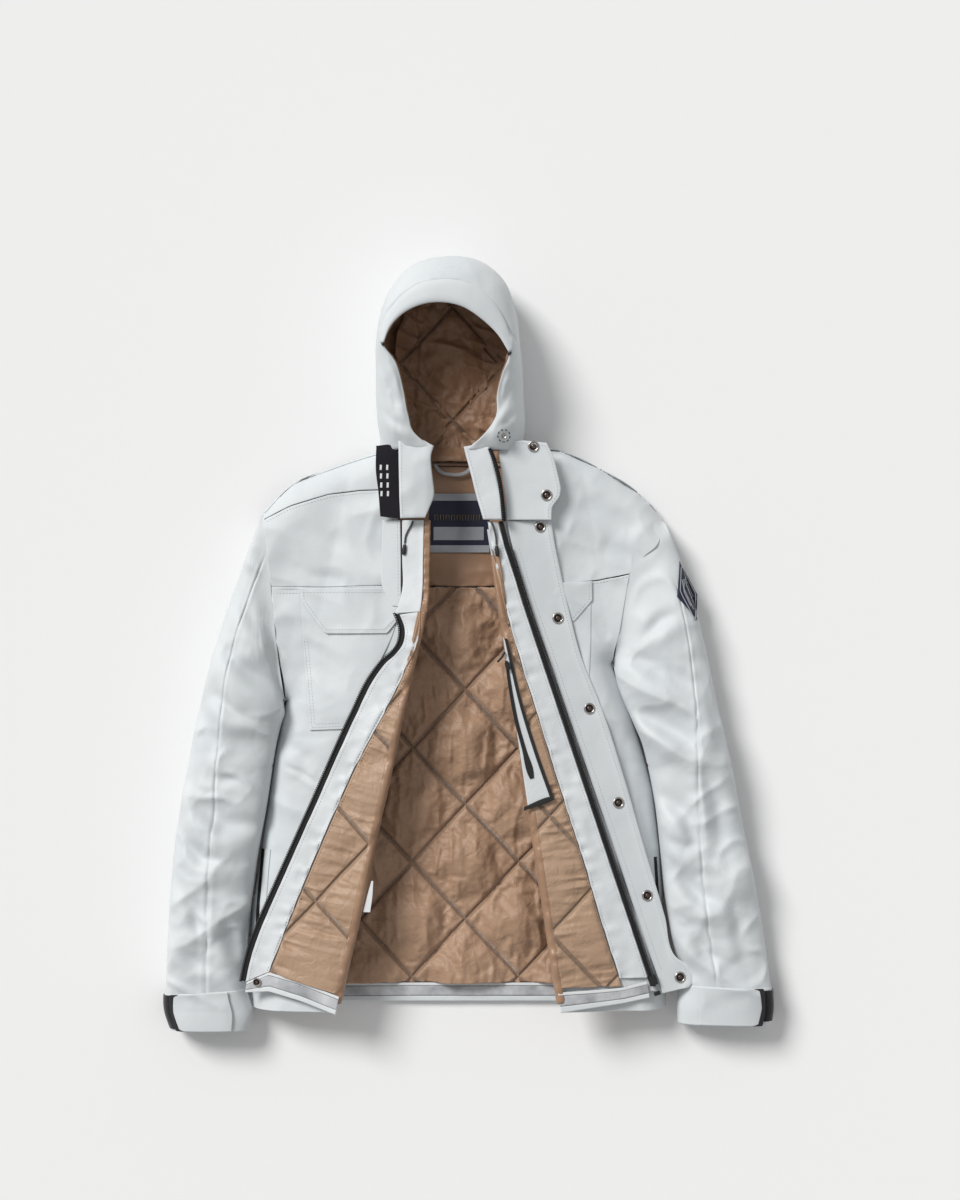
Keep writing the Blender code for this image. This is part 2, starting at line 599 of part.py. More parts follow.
LOWER_L = [
    ((732.3, 767), (654.6, 767), 0.0006, 0.075), ((739, 800), (662, 800), 0.0006, 0.073), ((749, 850), (669, 850), 0.0006, 0.070),
    ((759, 900), (676, 900), 0.0006, 0.066), ((767, 945), (686, 940), 0.0006, 0.060), ((771, 978), (699, 968), 0.0006, 0.056),
    ((773, 992), (700, 994), 0.0006, 0.054), ((774, 1010), (682, 1008), 0.0006, 0.052), ((772, 1026), (680, 1026), 0.0006, 0.050)]
upper_r, lower_r, upper_l, lower_l = tube(UPPER_R), tube(LOWER_R), tube(UPPER_L), tube(LOWER_L)
sleeve("right_upper_sleeve", upper_r, len(UPPER_R), "right_upper_sleeve")
sleeve("right_forearm_sleeve", lower_r, len(LOWER_R), "right_forearm")
sleeve("left_upper_sleeve", upper_l, len(UPPER_L), "left_upper_sleeve", left=True)
sleeve("left_forearm_sleeve", lower_l, len(LOWER_L), "left_forearm", left=True)
patch("sleeve_badge", upper_l, [(0.2, 28.5, 29.5), (0.6, 22, 36), (1.05, 14, 44), (1.5, 10, 30), (1.9, 13, 15)], 3, 0.0010, 0.0012, "left_upper_sleeve", "label_navy", left=True)
patch("right_cuff_loop_strip", lower_r, [(5.9, -52, 46), (7.0, -52, 52), (7.75, -50, 52)], 6, 0.0011, 0.0014, "right_forearm", "loop_black")
patch("left_cuff_loop_strip", lower_l, [(5.9, -52, 46), (7.0, -52, 52), (7.75, -50, 52)], 6, 0.0011, 0.0014, "left_forearm", "loop_black", left=True)
patch("right_cuff_tab", lower_r, [(6.1, 58, 118), (7.0, 53.5, 118), (7.9, 58, 118)], 4, 0.0030, 0.0016, "right_cuff_tab", "shell")
patch("left_cuff_tab", lower_l, [(6.1, 58, 112), (7.0, 53.5, 112), (7.9, 58, 112)], 4, 0.0030, 0.0016, "left_cuff_tab", "shell", left=True)

# ------------------------------------------------------------------- hood
HOOD = [
    # outer edge, opening edge, height of the opening edge, centre line
    ((380, 444), (409, 421), 0.098, (450, 442)), ((377, 424), (407, 411), 0.101, (450, 420)),
    ((376, 400), (405, 400), 0.104, (450, 396)), ((376, 374), (401, 376), 0.110, (450, 372)),
    ((376, 350), (388, 353), 0.114, (450, 350)), ((380, 318), (393, 337), 0.118, (450, 350)),
    ((392, 288), (406, 320), 0.123, (450, 350)), ((412, 267), (421, 311), 0.127, (450, 350)),
    ((448, 257.5), (441, 308), 0.128, (450, 350)), ((482, 263), (463, 312), 0.127, (450, 350)),
    ((504, 281), (482, 326), 0.123, (450, 350)), ((516, 312), (497, 342), 0.118, (450, 350)),
    ((521, 350), (508, 356), 0.114, (450, 350)), ((523, 376), (500, 380), 0.110, (450, 372)),
    ((524, 402), (497, 402), 0.104, (450, 396)), ((525, 424), (496, 412), 0.101, (450, 420)),
    ((523, 444), (495, 421), 0.098, (450, 442))]


def hood_wall(inset, depth, middle):
    grid = []
    for outer, opening, z_open, centre in HOOD:
        dist = math.dist(outer, centre)
        edge = lerp(outer, centre, inset / UNIT / dist)
        lip = lerp(opening, centre, (inset * 0.4) / UNIT / dist)
        row = []
        for t, h in ((0.0, 1.0), (0.3, 0.99), (0.62, 0.90), (0.88, 0.70), (1.0, 0.45)):
            p = lerp(lip, edge, t)
            row.append((X(p[0]), Y(p[1]), depth + (z_open - inset * 0.8 - depth) * h))
        for t, z in ((0.05, 0.020), (0.14, 0.0055)):
            p = lerp(edge, centre, t)
            row.append((X(p[0]), Y(p[1]), depth + z))
        for t in (0.45, 1.0):
            p = lerp(edge, centre, t)
            row.append((X(p[0]), Y(p[1]), depth + middle))
        grid.append(row)
    return grid


surface("hood_shell", hood_wall(0.0, 0.0005, 0.0), "hood", "shell", 0.003, up=True)
surface("hood_lining", hood_wall(0.0062, 0.0042, 0.0), "hood", "lining", 0.0035, up=True)

# brim: a stiffened band that stands on the crown along the opening
brim = []
for outer, opening, z_open, centre in HOOD[4:13]:
    brim.append([(X(p[0]), Y(p[1]), 0.0005 + (z_open - 0.0005) * h + 0.0052)
                 for t, h in ((0.0, 1.0), (0.3, 0.99), (0.42, 0.95625)) for p in [lerp(opening, outer, t)]])
surface("hood_brim", brim, "hood", "shell", 0.0022)

# drawcord ends that hang from the collar, each a soft cord in a moulded end
def cord(name, points, radius, owner, mat):
    curve = bpy.data.curves.new(name, "CURVE")
    curve.dimensions = "3D"
    curve.bevel_depth = radius
    curve.bevel_resolution = 2
    curve.use_fill_caps = True
    spline = curve.splines.new("POLY")
    spline.points.add(len(points) - 1)
    for p, q in zip(spline.points, points):
        p.co = (*q, 1)
    obj = bpy.data.objects.new(name, curve)
    return place(obj, owner, mat)


def smooth(points, n):
    """n + 1 points on a smooth curve through the given points."""
    out_points, m = [], len(points) - 1
    for k in range(n + 1):
        s = m * k / n
        i = min(int(s), m - 1)
        t = s - i
        p = [Vector(points[max(0, min(m, i + j))]) for j in (-1, 0, 1, 2)]
        out_points.append(tuple(0.5 * ((2 * p[1]) + (p[2] - p[0]) * t + (2 * p[0] - 5 * p[1] + 4 * p[2] - p[3]) * t * t
                                       + (-p[0] + 3 * p[1] - 3 * p[2] + p[3]) * t ** 3)))
    return out_points


def cord_route(side, pts, base):
    return smooth([(X(u), Y(v), base(u, v) + h) for u, v, h in pts], 10)


cord("right_drawcord", cord_route("right", [(413.5, 521.6, 0.0024), (411.8, 526, 0.0022), (408.6, 531.2, 0.0020), (406.2, 537, 0.0019), (405.4, 543.8, 0.0019)],
     lambda u, v: plane("right", u, v) + 0.0050), 0.0013, "torso", "cord_grey")
turned("right_cord_end", [(0, 0), (0.0019, 0.0004), (0.0028, 0.004), (0.0030, 0.011), (0.0024, 0.0135), (0, 0.0140)],
       Vector((X(405.3), Y(544.7), plane("right", 405, 544) + 0.0050 + 0.0040)), (X(404.6) - X(405.3), Y(552.3) - Y(544.7), -0.0004), "torso", "cord_grey", sides=10)
cord("left_drawcord", cord_route("left", [(491.0, 522.4, 0.0022), (493.4, 528, 0.0020), (494.9, 533.4, 0.0019), (495.9, 539, 0.0019), (496.3, 545.2, 0.0019)],
     lambda u, v: plane("left", u, v) + 0.0119), 0.0013, "left_front", "cord_grey")
turned("left_cord_end", [(0, 0), (0.0019, 0.0004), (0.0028, 0.004), (0.0030, 0.011), (0.0024, 0.0135), (0, 0.0140)],
       Vector((X(496.4), Y(546.1), plane("left", 496, 546) + 0.0119 + 0.0042)), (X(497.2) - X(496.4), Y(553.8) - Y(546.1), -0.0006), "left_front", "cord_grey", sides=10)
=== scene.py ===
import json
import math

import bpy
import numpy as np
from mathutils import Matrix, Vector

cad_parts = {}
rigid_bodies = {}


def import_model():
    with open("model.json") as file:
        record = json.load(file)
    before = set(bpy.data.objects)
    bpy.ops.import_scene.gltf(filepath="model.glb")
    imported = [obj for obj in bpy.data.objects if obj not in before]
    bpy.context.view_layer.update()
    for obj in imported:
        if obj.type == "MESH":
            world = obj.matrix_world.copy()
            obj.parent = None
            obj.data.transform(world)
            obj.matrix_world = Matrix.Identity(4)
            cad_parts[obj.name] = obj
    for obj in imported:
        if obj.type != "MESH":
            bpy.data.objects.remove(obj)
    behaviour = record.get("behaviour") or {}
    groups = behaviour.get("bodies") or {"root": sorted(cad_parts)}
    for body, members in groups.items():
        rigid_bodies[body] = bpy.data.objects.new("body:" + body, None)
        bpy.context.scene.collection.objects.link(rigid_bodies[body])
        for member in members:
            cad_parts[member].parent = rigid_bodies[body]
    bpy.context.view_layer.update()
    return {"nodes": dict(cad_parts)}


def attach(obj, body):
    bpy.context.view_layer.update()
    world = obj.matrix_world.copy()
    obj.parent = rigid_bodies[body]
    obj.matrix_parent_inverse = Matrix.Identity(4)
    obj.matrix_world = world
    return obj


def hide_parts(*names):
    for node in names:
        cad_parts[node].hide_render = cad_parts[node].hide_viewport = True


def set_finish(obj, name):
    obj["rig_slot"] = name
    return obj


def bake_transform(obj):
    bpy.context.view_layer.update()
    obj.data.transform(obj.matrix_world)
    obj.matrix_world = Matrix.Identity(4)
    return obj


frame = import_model()
STEP = 0.0030

# ============================================================ pattern frame
UNIT = 0.00132
CU, CV = 468.58, 645.28
CREASE_Z, SLOPE = 0.072, 0.16
RIGHT_FOLD = ((430.0, 600.0), (343.0, 1000.0))
LEFT_FOLD = ((495.0, 590.0), (555.0, 1000.0))


def X(u):
    return (np.asarray(u, float) - CU) * UNIT


def Y(v):
    return (CV - np.asarray(v, float)) * UNIT


def fold_u(side, v, out=0.0):
    (u0, v0), (u1, v1) = RIGHT_FOLD if side == "right" else LEFT_FOLD
    u = u0 + (u1 - u0) * (v - v0) / (v1 - v0)
    return u - out if side == "right" else u + out


def fold_distance(side, U, V):
    (u0, v0), (u1, v1) = RIGHT_FOLD if side == "right" else LEFT_FOLD
    length = math.hypot(u1 - u0, v1 - v0)
    d = ((U - u0) * (v1 - v0) - (V - v0) * (u1 - u0)) / length
    return -d if side == "right" else d


def plane(side, U, V):
    return CREASE_Z - SLOPE * fold_distance(side, U, V) * UNIT


def smoothstep(a, b, x):
    t = np.clip((x - a) / (b - a), 0, 1)
    return t * t * (3 - 2 * t)


def bump(x):
    return np.exp(-x * x)


# =================================================================== noise
_TABLE = np.random.RandomState(11).rand(256, 256)


def vnoise(x, y, seed=0):
    x, y = np.asarray(x, float) + seed * 17.31, np.asarray(y, float) + seed * 9.73
    xi, yi = np.floor(x).astype(int), np.floor(y).astype(int)
    fx, fy = x - xi, y - yi
    fx, fy = fx ** 3 * (fx * (fx * 6 - 15) + 10), fy ** 3 * (fy * (fy * 6 - 15) + 10)
    g = lambda i, j: _TABLE[(yi + j) & 255, (xi + i) & 255]
    return (g(0, 0) * (1 - fx) + g(1, 0) * fx) * (1 - fy) + (g(0, 1) * (1 - fx) + g(1, 1) * fx) * fy - 0.5


def fbm(x, y, octaves=3, seed=0):
    total, amp = 0, 1.0
    for k in range(octaves):
        total = total + amp * vnoise(x * 2 ** k, y * 2 ** k, seed + k)
        amp *= 0.5
    return total


# ============================================================= line distance
def line_distance(U, V, pts):
    """(distance, signed distance, share along) of a polyline of (u, v)."""
    pts = np.asarray(pts, float)
    seg = np.diff(pts, axis=0)
    length = np.hypot(seg[:, 0], seg[:, 1])
    start = np.concatenate([[0], np.cumsum(length)])
    best = np.full(np.shape(U), 1e9)
    sign = np.zeros(np.shape(U))
    share = np.zeros(np.shape(U))
    for k in range(len(seg)):
        dx, dy = U - pts[k, 0], V - pts[k, 1]
        t = np.clip((dx * seg[k, 0] + dy * seg[k, 1]) / max(length[k] ** 2, 1e-9), 0, 1)
        d = np.hypot(dx - t * seg[k, 0], dy - t * seg[k, 1])
        near = d < best
        cross = (seg[k, 0] * dy - seg[k, 1] * dx) / max(length[k], 1e-9)
        best = np.where(near, d, best)
        sign = np.where(near, np.where(cross < 0, -d, d), sign)
        share = np.where(near, (start[k] + t * length[k]) / start[-1], share)
    return best, sign, share


def ridged(x, y, seed=0):
    """Sharp-crested folds, 0 to 1."""
    n = vnoise(x + 0.35 * vnoise(x * 1.3, y * 1.3, seed + 5), y + 0.5 * vnoise(x, y, seed + 9), seed)
    return (1 - np.abs(n) * 2.8).clip(0, 1) ** 1.15


def crease(U, V, pts, width, depth, ridge=0.5):
    """A pressed valley with a soft ridge on one side, fading at its ends."""
    d, s, t = line_distance(U, V, pts)
    fade = np.sin(np.pi * np.clip(t, 0.02, 0.98)) ** 0.7
    return fade * depth * (-bump(d / width) + ridge * bump((s - width * 1.9) / (width * 1.3)))


# ======================================================= cloth simulations
def cloth_map(w, h, step, pins, grow, frames, bend, lift, seed, tension=25):
    """Puckering of a flat piece of cloth held along its pins while it has
    more length than room: displacement (ny, nx, 3) in metres."""
    nx, ny = int(round(w / step)) + 1, int(round(h / step)) + 1
    xs, ys = np.meshgrid(np.linspace(0, w, nx), np.linspace(0, h, ny))
    pin = pins(xs, ys) > 0.5
    rnd = np.random.RandomState(seed)
    zs = np.where(pin, 0, rnd.uniform(-1, 1, xs.shape) * 0.0004 + 0.0006)
    verts = np.stack([xs, ys, zs], -1).reshape(-1, 3)
    idx = np.arange(nx * ny).reshape(ny, nx)
    faces = np.stack([idx[:-1, :-1], idx[:-1, 1:], idx[1:, 1:], idx[1:, :-1]], -1).reshape(-1, 4)
    me = bpy.data.meshes.new("cloth")
    me.from_pydata(verts.tolist(), [], faces.tolist())
    ob = bpy.data.objects.new("cloth", me)
    bpy.context.scene.collection.objects.link(ob)
    group = ob.vertex_groups.new(name="pin")
    group.add(np.nonzero(pin.ravel())[0].tolist(), 1.0, "REPLACE")
    mod = ob.modifiers.new("cloth", "CLOTH")
    s = mod.settings
    s.vertex_group_mass, s.quality, s.mass = "pin", 4, 0.15
    s.tension_stiffness = s.compression_stiffness = tension
    s.shear_stiffness, s.bending_stiffness = 5, bend
    s.tension_damping = s.compression_damping = s.shear_damping = 5
    s.bending_damping, s.air_damping = 0.5, 1
    s.shrink_min = s.shrink_max = -grow
    s.effector_weights.gravity = 0
    s.use_pressure, s.uniform_pressure_force = True, lift
    mod.collision_settings.use_collision = False
    mod.point_cache.frame_start, mod.point_cache.frame_end = 1, frames + 5
    sc = bpy.context.scene
    sc.frame_start, sc.frame_end = 1, frames + 5
    for k in range(1, frames + 1):
        sc.frame_set(k)
    got = ob.evaluated_get(bpy.context.evaluated_depsgraph_get()).to_mesh()
    co = np.zeros(len(verts) * 3, np.float32)
    got.vertices.foreach_get("co", co)
    moved = (co.reshape(-1, 3) - np.stack([xs, ys, 0 * xs], -1).reshape(-1, 3)).reshape(ny, nx, 3)
    bpy.data.objects.remove(ob)
    bpy.data.meshes.remove(me)
    sc.frame_set(1)
    return moved


QW, QH = 108.0, 116.0      # width and height of a quilted diamond


def quilt_lines(U, V):
    """Distance in pattern units to the nearest quilting line."""
    k = QH / QW
    a = ((V + k * U - 1307.4) / QH) % 1
    b = ((V - k * U - 307.5) / QH) % 1
    unit = QH / math.hypot(1, k)
    return np.minimum(np.minimum(a, 1 - a), np.minimum(b, 1 - b)) * unit


SIM_U, SIM_V, SIM_W, SIM_H = 268.0, 455.0, 0.56, 0.76


def quilt_pins(xs, ys):
    edge = np.minimum(np.minimum(xs, SIM_W - xs), np.minimum(ys, SIM_H - ys))
    return (np.minimum(quilt_lines(SIM_U + xs / UNIT, SIM_V + ys / UNIT) * UNIT, edge) < 0.0028).astype(float)


def scatter_pins(xs, ys):
    edge = np.minimum(np.minimum(xs, 0.5 - xs), np.minimum(ys, 0.5 - ys))
    held = (edge < 0.003).astype(float)
    rnd = np.random.RandomState(5)
    for cx, cy in rnd.uniform(0.03, 0.47, (26, 2)):
        held = np.maximum(held, (np.hypot(xs - cx, ys - cy) < 0.008).astype(float))
    return held


QUILT = cloth_map(SIM_W, SIM_H, 0.005, quilt_pins, 0.045, 34, 3.0, 5.0, 1)
CRUMPLE = cloth_map(0.5, 0.5, 0.005, scatter_pins, 0.030, 40, 10.0, 1.5, 2)


def sample(field, x, y, step=0.005):
    """Bilinear reading of a displacement map, mirrored past its edges."""
    ny, nx = field.shape[:2]
    fx, fy = np.abs(x) / step, np.abs(y) / step
    fx, fy = fx % (2 * (nx - 1)), fy % (2 * (ny - 1))
    fx, fy = np.where(fx > nx - 1, 2 * (nx - 1) - fx, fx), np.where(fy > ny - 1, 2 * (ny - 1) - fy, fy)
    i, j = np.clip(np.floor(fx).astype(int), 0, nx - 2), np.clip(np.floor(fy).astype(int), 0, ny - 2)
    a, b = (fx - i)[..., None], (fy - j)[..., None]
    return (field[j, i] * (1 - a) + field[j, i + 1] * a) * (1 - b) + (field[j + 1, i] * (1 - a) + field[j + 1, i + 1] * a) * b


def crumple(x, y, seed=0):
    c = sample(CRUMPLE, x + 0.113 * seed, y + 0.207 * seed)[..., 2]
    return c - CRUMPLE[..., 2].mean()


def quilt_puff(U, V, shift=(0, 0)):
    return sample(QUILT, (U - SIM_U + shift[0] * QW) * UNIT, (V - SIM_V + shift[1] * QH) * UNIT)[..., 2]


# ============================================================ mesh building
def spaced(length, step, fine=True):
    """Shares from 0 to 1 with extra rows close to both ends."""
    edge = [0, 0.0003, 0.0008, 0.0015, 0.0024, 0.0036] if fine else [0]
    edge = [e for e in edge if e < length * 0.4]
    inner = np.linspace(edge[-1], length - edge[-1], max(2, int((length - 2 * edge[-1]) / step) + 2))
    return np.concatenate([edge[:-1], inner, [length - e for e in edge[:-1]][::-1]]) / length


def hermite(t_rows, rows, t):
    """Smooth curve through rows (n, ...) given at t_rows, read at t."""
    rows, t_rows = np.asarray(rows, float), np.asarray(t_rows, float)
    slope = np.zeros_like(rows)
    h = np.diff(t_rows)
    delta = np.diff(rows, axis=0) / h.reshape(-1, *([1] * (rows.ndim - 1)))
    slope[0], slope[-1] = delta[0], delta[-1]
    for i in range(1, len(rows) - 1):
        w0, w1 = h[i], h[i - 1]
        slope[i] = (delta[i - 1] * w0 + delta[i] * w1) / (w0 + w1)
    i = np.clip(np.searchsorted(t_rows, t, side="right") - 1, 0, len(rows) - 2)
    shape = (-1, *([1] * (rows.ndim - 1)))
    hh = h[i].reshape(shape)
    x = ((t - t_rows[i]) / h[i]).reshape(shape)
    return ((2 * x ** 3 - 3 * x ** 2 + 1) * rows[i] + (x ** 3 - 2 * x ** 2 + x) * hh * slope[i]
            + (-2 * x ** 3 + 3 * x ** 2) * rows[i + 1] + (x ** 3 - x ** 2) * hh * slope[i + 1])


def along(points, shares):
    p = np.asarray(points, float)
    length = np.concatenate([[0], np.cumsum(np.linalg.norm(np.diff(p, axis=0), axis=1))])
    length /= length[-1]
    return np.stack([np.interp(shares, length, p[:, k]) for k in range(p.shape[1])], -1)


def curve_through(points, n):
    p = np.asarray(points, float)
    t = np.concatenate([[0], np.cumsum(np.linalg.norm(np.diff(p, axis=0), axis=1))])
    q = hermite(t, p, np.linspace(0, t[-1], max(n * 4, 40)))
    return along(q, np.linspace(0, 1, n))


def plan_grid(rows, step=None, smooth=True, breaks=()):
    """(U, V) grids of a panel whose rows run from one edge to the other."""
    step = step or STEP
    fine = np.linspace(0, 1, 41)
    ctrl = np.stack([along(r, fine) for r in rows])
    gap = np.linalg.norm(np.diff(ctrl, axis=0), axis=2).mean(1) * UNIT
    t_rows = np.concatenate([[0], np.cumsum(gap)])
    length = t_rows[-1]
    width = np.linalg.norm(np.diff(ctrl, axis=1), axis=2).sum(1).mean() * UNIT
    t = spaced(length, step) * length
    if smooth and len(rows) > 2:
        grid = hermite(t_rows, ctrl, t)
    else:
        grid = np.stack([np.stack([np.interp(t, t_rows, ctrl[:, j, k]) for j in range(41)], 1) for k in (0, 1)], -1)
    s = spaced(width, step)
    U = np.stack([np.interp(s, fine, row[:, 0]) for row in grid])
    V = np.stack([np.interp(s, fine, row[:, 1]) for row in grid])
    return U, V, s * width, t


def normals_of(P, wrap=False):
    if wrap:
        Q = np.concatenate([P[:, -1:], P, P[:, :1]], 1)
        du = (Q[:, 2:] - Q[:, :-2])
    else:
        du = np.gradient(P, axis=1)
    dv = np.gradient(P, axis=0)
    n = np.cross(dv, du)
    return n / np.maximum(np.linalg.norm(n, axis=-1, keepdims=True), 1e-12)


def make_mesh(name, verts, faces, mat, uv=None, smooth=True):
    me = bpy.data.meshes.new(name)
    verts = np.asarray(verts, np.float32)
    faces = np.asarray(faces, np.int32)
    n = faces.shape[1]
    me.vertices.add(len(verts))
    me.vertices.foreach_set("co", verts.ravel())
    me.loops.add(faces.size)
    me.loops.foreach_set("vertex_index", faces.ravel())
    me.polygons.add(len(faces))
    me.polygons.foreach_set("loop_start", np.arange(0, faces.size, n, dtype=np.int32))
    me.polygons.foreach_set("loop_total", np.full(len(faces), n, np.int32))
    if uv is not None:
        layer = me.uv_layers.new(name="UVMap")
        layer.data.foreach_set("uv", np.asarray(uv, np.float32)[faces.ravel()].ravel())
    me.update(calc_edges=True)
    me.validate()
    if smooth:
        me.shade_smooth()
    ob = bpy.data.objects.new(name, me)
    bpy.context.scene.collection.objects.link(ob)
    me.materials.append(mat)
    return ob


def slab(name, P, s_len, t_len, thick, mat, wrap=False, uvs=None, flip=False, round_sides=True, round_ends=True, normal=None):
    """A closed sheet: P (ny, nx, 3) is its outer face, and its edges are
    rounded over the thickness."""
    ny, nx = P.shape[:2]
    N = normals_of(P, wrap) if normal is None else normal
    if flip:
        N = -N
    s_len, t_len = np.asarray(s_len), np.asarray(t_len)
    inf = np.full((ny, nx), 1e9)
    D = inf
    if round_ends:
        D = np.minimum(D, np.minimum(t_len, t_len[-1] - t_len)[:, None] + 0 * inf)
    if not wrap and round_sides:
        D = np.minimum(D, np.minimum(s_len, s_len[-1] - s_len)[None, :] + 0 * inf)
    r = thick / 2 if np.ndim(thick) == 0 else np.asarray(thick) / 2
    q = np.clip(D / r, 0, 1)
    drop = (r * (1 - np.sqrt(np.maximum(0, 1 - (1 - q) ** 2))))[..., None]
    top = P - N * drop
    low = P - N * ((2 * r)[..., None] if np.ndim(r) else 2 * r) + N * drop
    idx = np.arange(ny * nx).reshape(ny, nx)
    border = np.zeros((ny, nx), bool)
    border[0] = border[-1] = True
    if not wrap:
        border[:, 0] = border[:, -1] = True
    inner = ~border
    idl = idx.copy()
    idl[inner] = ny * nx + np.arange(inner.sum())
    verts = np.concatenate([top.reshape(-1, 3), low[inner]])
    # the rim is the middle of both faces
    rim = (top[border] + low[border]) / 2
    verts[idx[border]] = rim
    if wrap:
        a, b, c, d = idx[:-1], np.roll(idx, -1, 1)[:-1], np.roll(idx, -1, 1)[1:], idx[1:]
        e, f, g, h = idl[:-1], np.roll(idl, -1, 1)[:-1], np.roll(idl, -1, 1)[1:], idl[1:]
    else:
        a, b, c, d = idx[:-1, :-1], idx[:-1, 1:], idx[1:, 1:], idx[1:, :-1]
        e, f, g, h = idl[:-1, :-1], idl[:-1, 1:], idl[1:, 1:], idl[1:, :-1]
    up = np.stack([a, d, c, b], -1).reshape(-1, 4)
    down = np.stack([e, f, g, h], -1).reshape(-1, 4)
    faces = np.concatenate([up, down])
    if flip:
        faces = faces[:, ::-1]
    if uvs is None:
        uvs = np.stack(np.broadcast_arrays(s_len[None, :], t_len[:, None]), -1)
    uv = np.concatenate([uvs.reshape(-1, 2), uvs[inner]])
    return make_mesh(name, verts, faces, mat, uv)


def panel(name, rows, z, thick, mat, body=None, step=None, smooth=True, slot="shell", nodes=(), shift=None):
    U, V, s, t = plan_grid(rows, step, smooth)
    Z = z(U, V) if callable(z) else np.full(U.shape, float(z))
    P = np.stack([X(U), Y(V), Z], -1)
    if shift is not None:
        P = P + shift(U, V)
    ob = slab(name, P, s, t, thick, mat, uvs=np.stack([X(U), Y(V)], -1))
    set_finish(ob, slot)
    if nodes:
        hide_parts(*nodes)
    if body:
        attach(ob, body)
    ob["cells"] = 0
    return ob


def strip(name, left, right, z, thick, mat, body=None, n=14, step=None, **kw):
    lefts, rights = curve_through(left, n), curve_through(right, n)
    return panel(name, [[tuple(a), tuple(b)] for a, b in zip(lefts, rights)], z, thick, mat, body, step, **kw)


def join_parts(name, parts, mat, body, slot, smooth=True):
    """One mesh from many small (verts, faces) parts of equal face size."""
    verts, faces, base = [], [], 0
    for v, f in parts:
        verts.append(v)
        faces.append(np.asarray(f) + base)
        base += len(v)
    ob = make_mesh(name, np.concatenate(verts), np.concatenate(faces), mat, np.concatenate(verts)[:, :2], smooth)
    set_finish(ob, slot)
    if body:
        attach(ob, body)
    return ob


def tube_part(path, radius, sides=8, flat=1.0):
    """A tube along (n, 3) points, closed at both ends, as quads."""
    path = np.asarray(path, float)
    T = np.gradient(path, axis=0)
    T /= np.maximum(np.linalg.norm(T, axis=1, keepdims=True), 1e-9)
    ref = np.array([0, 0, 1.0])
    A = np.cross(T, ref)
    bad = np.linalg.norm(A, axis=1) < 1e-3
    A[bad] = np.array([1.0, 0, 0])
    A /= np.linalg.norm(A, axis=1, keepdims=True)
    B = np.cross(A, T)
    r = np.broadcast_to(radius, (len(path),))
    ang = np.arange(sides) * 2 * np.pi / sides
    rings = path[:, None] + r[:, None, None] * (A[:, None] * np.cos(ang)[None, :, None] + flat * B[:, None] * np.sin(ang)[None, :, None])
    n = len(path)
    verts = np.concatenate([rings.reshape(-1, 3), path[:1], path[-1:]])
    i = np.arange(n * sides).reshape(n, sides)
    j = np.roll(i, -1, 1)
    faces = np.stack([i[:-1], i[1:], j[1:], j[:-1]], -1).reshape(-1, 4)
    cap0 = np.stack([i[0], j[0], np.full(sides, n * sides), np.full(sides, n * sides)], -1)
    cap1 = np.stack([j[-1], i[-1], np.full(sides, n * sides + 1), np.full(sides, n * sides + 1)], -1)
    return verts, faces, cap0[:, :3], cap1[:, :3]


def tubes(name, paths, radius, mat, body, slot, sides=8, flat=1.0):
    vs, fs, base = [], [], 0
    for p in paths:
        v, f, c0, c1 = tube_part(p, radius, sides, flat)
        vs.append(v)
        tri = np.concatenate([c0, c1])
        fs += [tuple(x) for x in (f + base).tolist()] + [tuple(x) for x in (tri + base).tolist()]
        base += len(v)
    me = bpy.data.meshes.new(name)
    verts = np.concatenate(vs)
    me.from_pydata(verts.tolist(), [], fs)
    layer = me.uv_layers.new(name="UVMap")
    loops = np.zeros(len(me.loops), np.int32)
    me.loops.foreach_get("vertex_index", loops)
    layer.data.foreach_set("uv", verts[loops][:, :2].astype(np.float32).ravel())
    me.shade_smooth()
    me.materials.append(mat)
    ob = bpy.data.objects.new(name, me)
    bpy.context.scene.collection.objects.link(ob)
    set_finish(ob, slot)
    if body:
        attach(ob, body)
    return ob


STITCH = {}


def stitches(body, pts, z, proud=0.0002, pitch=0.0042, length=0.0030, width=0.00033, shade="light"):
    """Topstitching along a polyline of (u, v) on the surface z(u, v)."""
    p = np.asarray(pts, float)
    total = np.linalg.norm(np.diff(p, axis=0), axis=1).sum() * UNIT
    n = max(2, int(total / pitch))
    mids = (np.arange(n) + 0.5) / n
    half = length / 2 / total
    ends = along(p, np.clip(np.stack([mids - half, mids, mids + half], 1).ravel(), 0, 1)).reshape(n, 3, 2)
    Z = z(ends[..., 0], ends[..., 1]) + proud
    Q = np.stack([X(ends[..., 0]), Y(ends[..., 1]), Z], -1)
    d = Q[:, 2] - Q[:, 0]
    d /= np.maximum(np.linalg.norm(d, axis=1, keepdims=True), 1e-9)
    side = np.cross(d, [0, 0, 1.0])
    side /= np.maximum(np.linalg.norm(side, axis=1, keepdims=True), 1e-9)
    upv = np.cross(side, d)
    w = width
    parts = [Q[:, 0] - upv * 0.0004]
    for k in (0.25, 0.75):
        c = Q[:, 0] * (1 - k) + Q[:, 2] * k
        parts += [c + side * w, c + upv * w * 1.3, c - side * w, c - upv * w]
    parts.append(Q[:, 2] - upv * 0.0004)
    verts = np.stack(parts, 1).reshape(-1, 3)
    quad = []
    for a in range(4):
        b = (a + 1) % 4
        quad.append([0, 1 + b, 1 + a, 1 + a])
        quad.append([1 + a, 1 + b, 5 + b, 5 + a])
        quad.append([9, 5 + a, 5 + b, 5 + b])
    tri = []
    for q in quad:
        tri.append(q[:3])
        if q[3] != q[2]:
            tri.append([q[0], q[2], q[3]])
    tri = np.asarray(tri)
    faces = (tri[None] + (np.arange(n) * 10)[:, None, None]).reshape(-1, 3)
    STITCH.setdefault((body, shade), []).append((verts, faces))


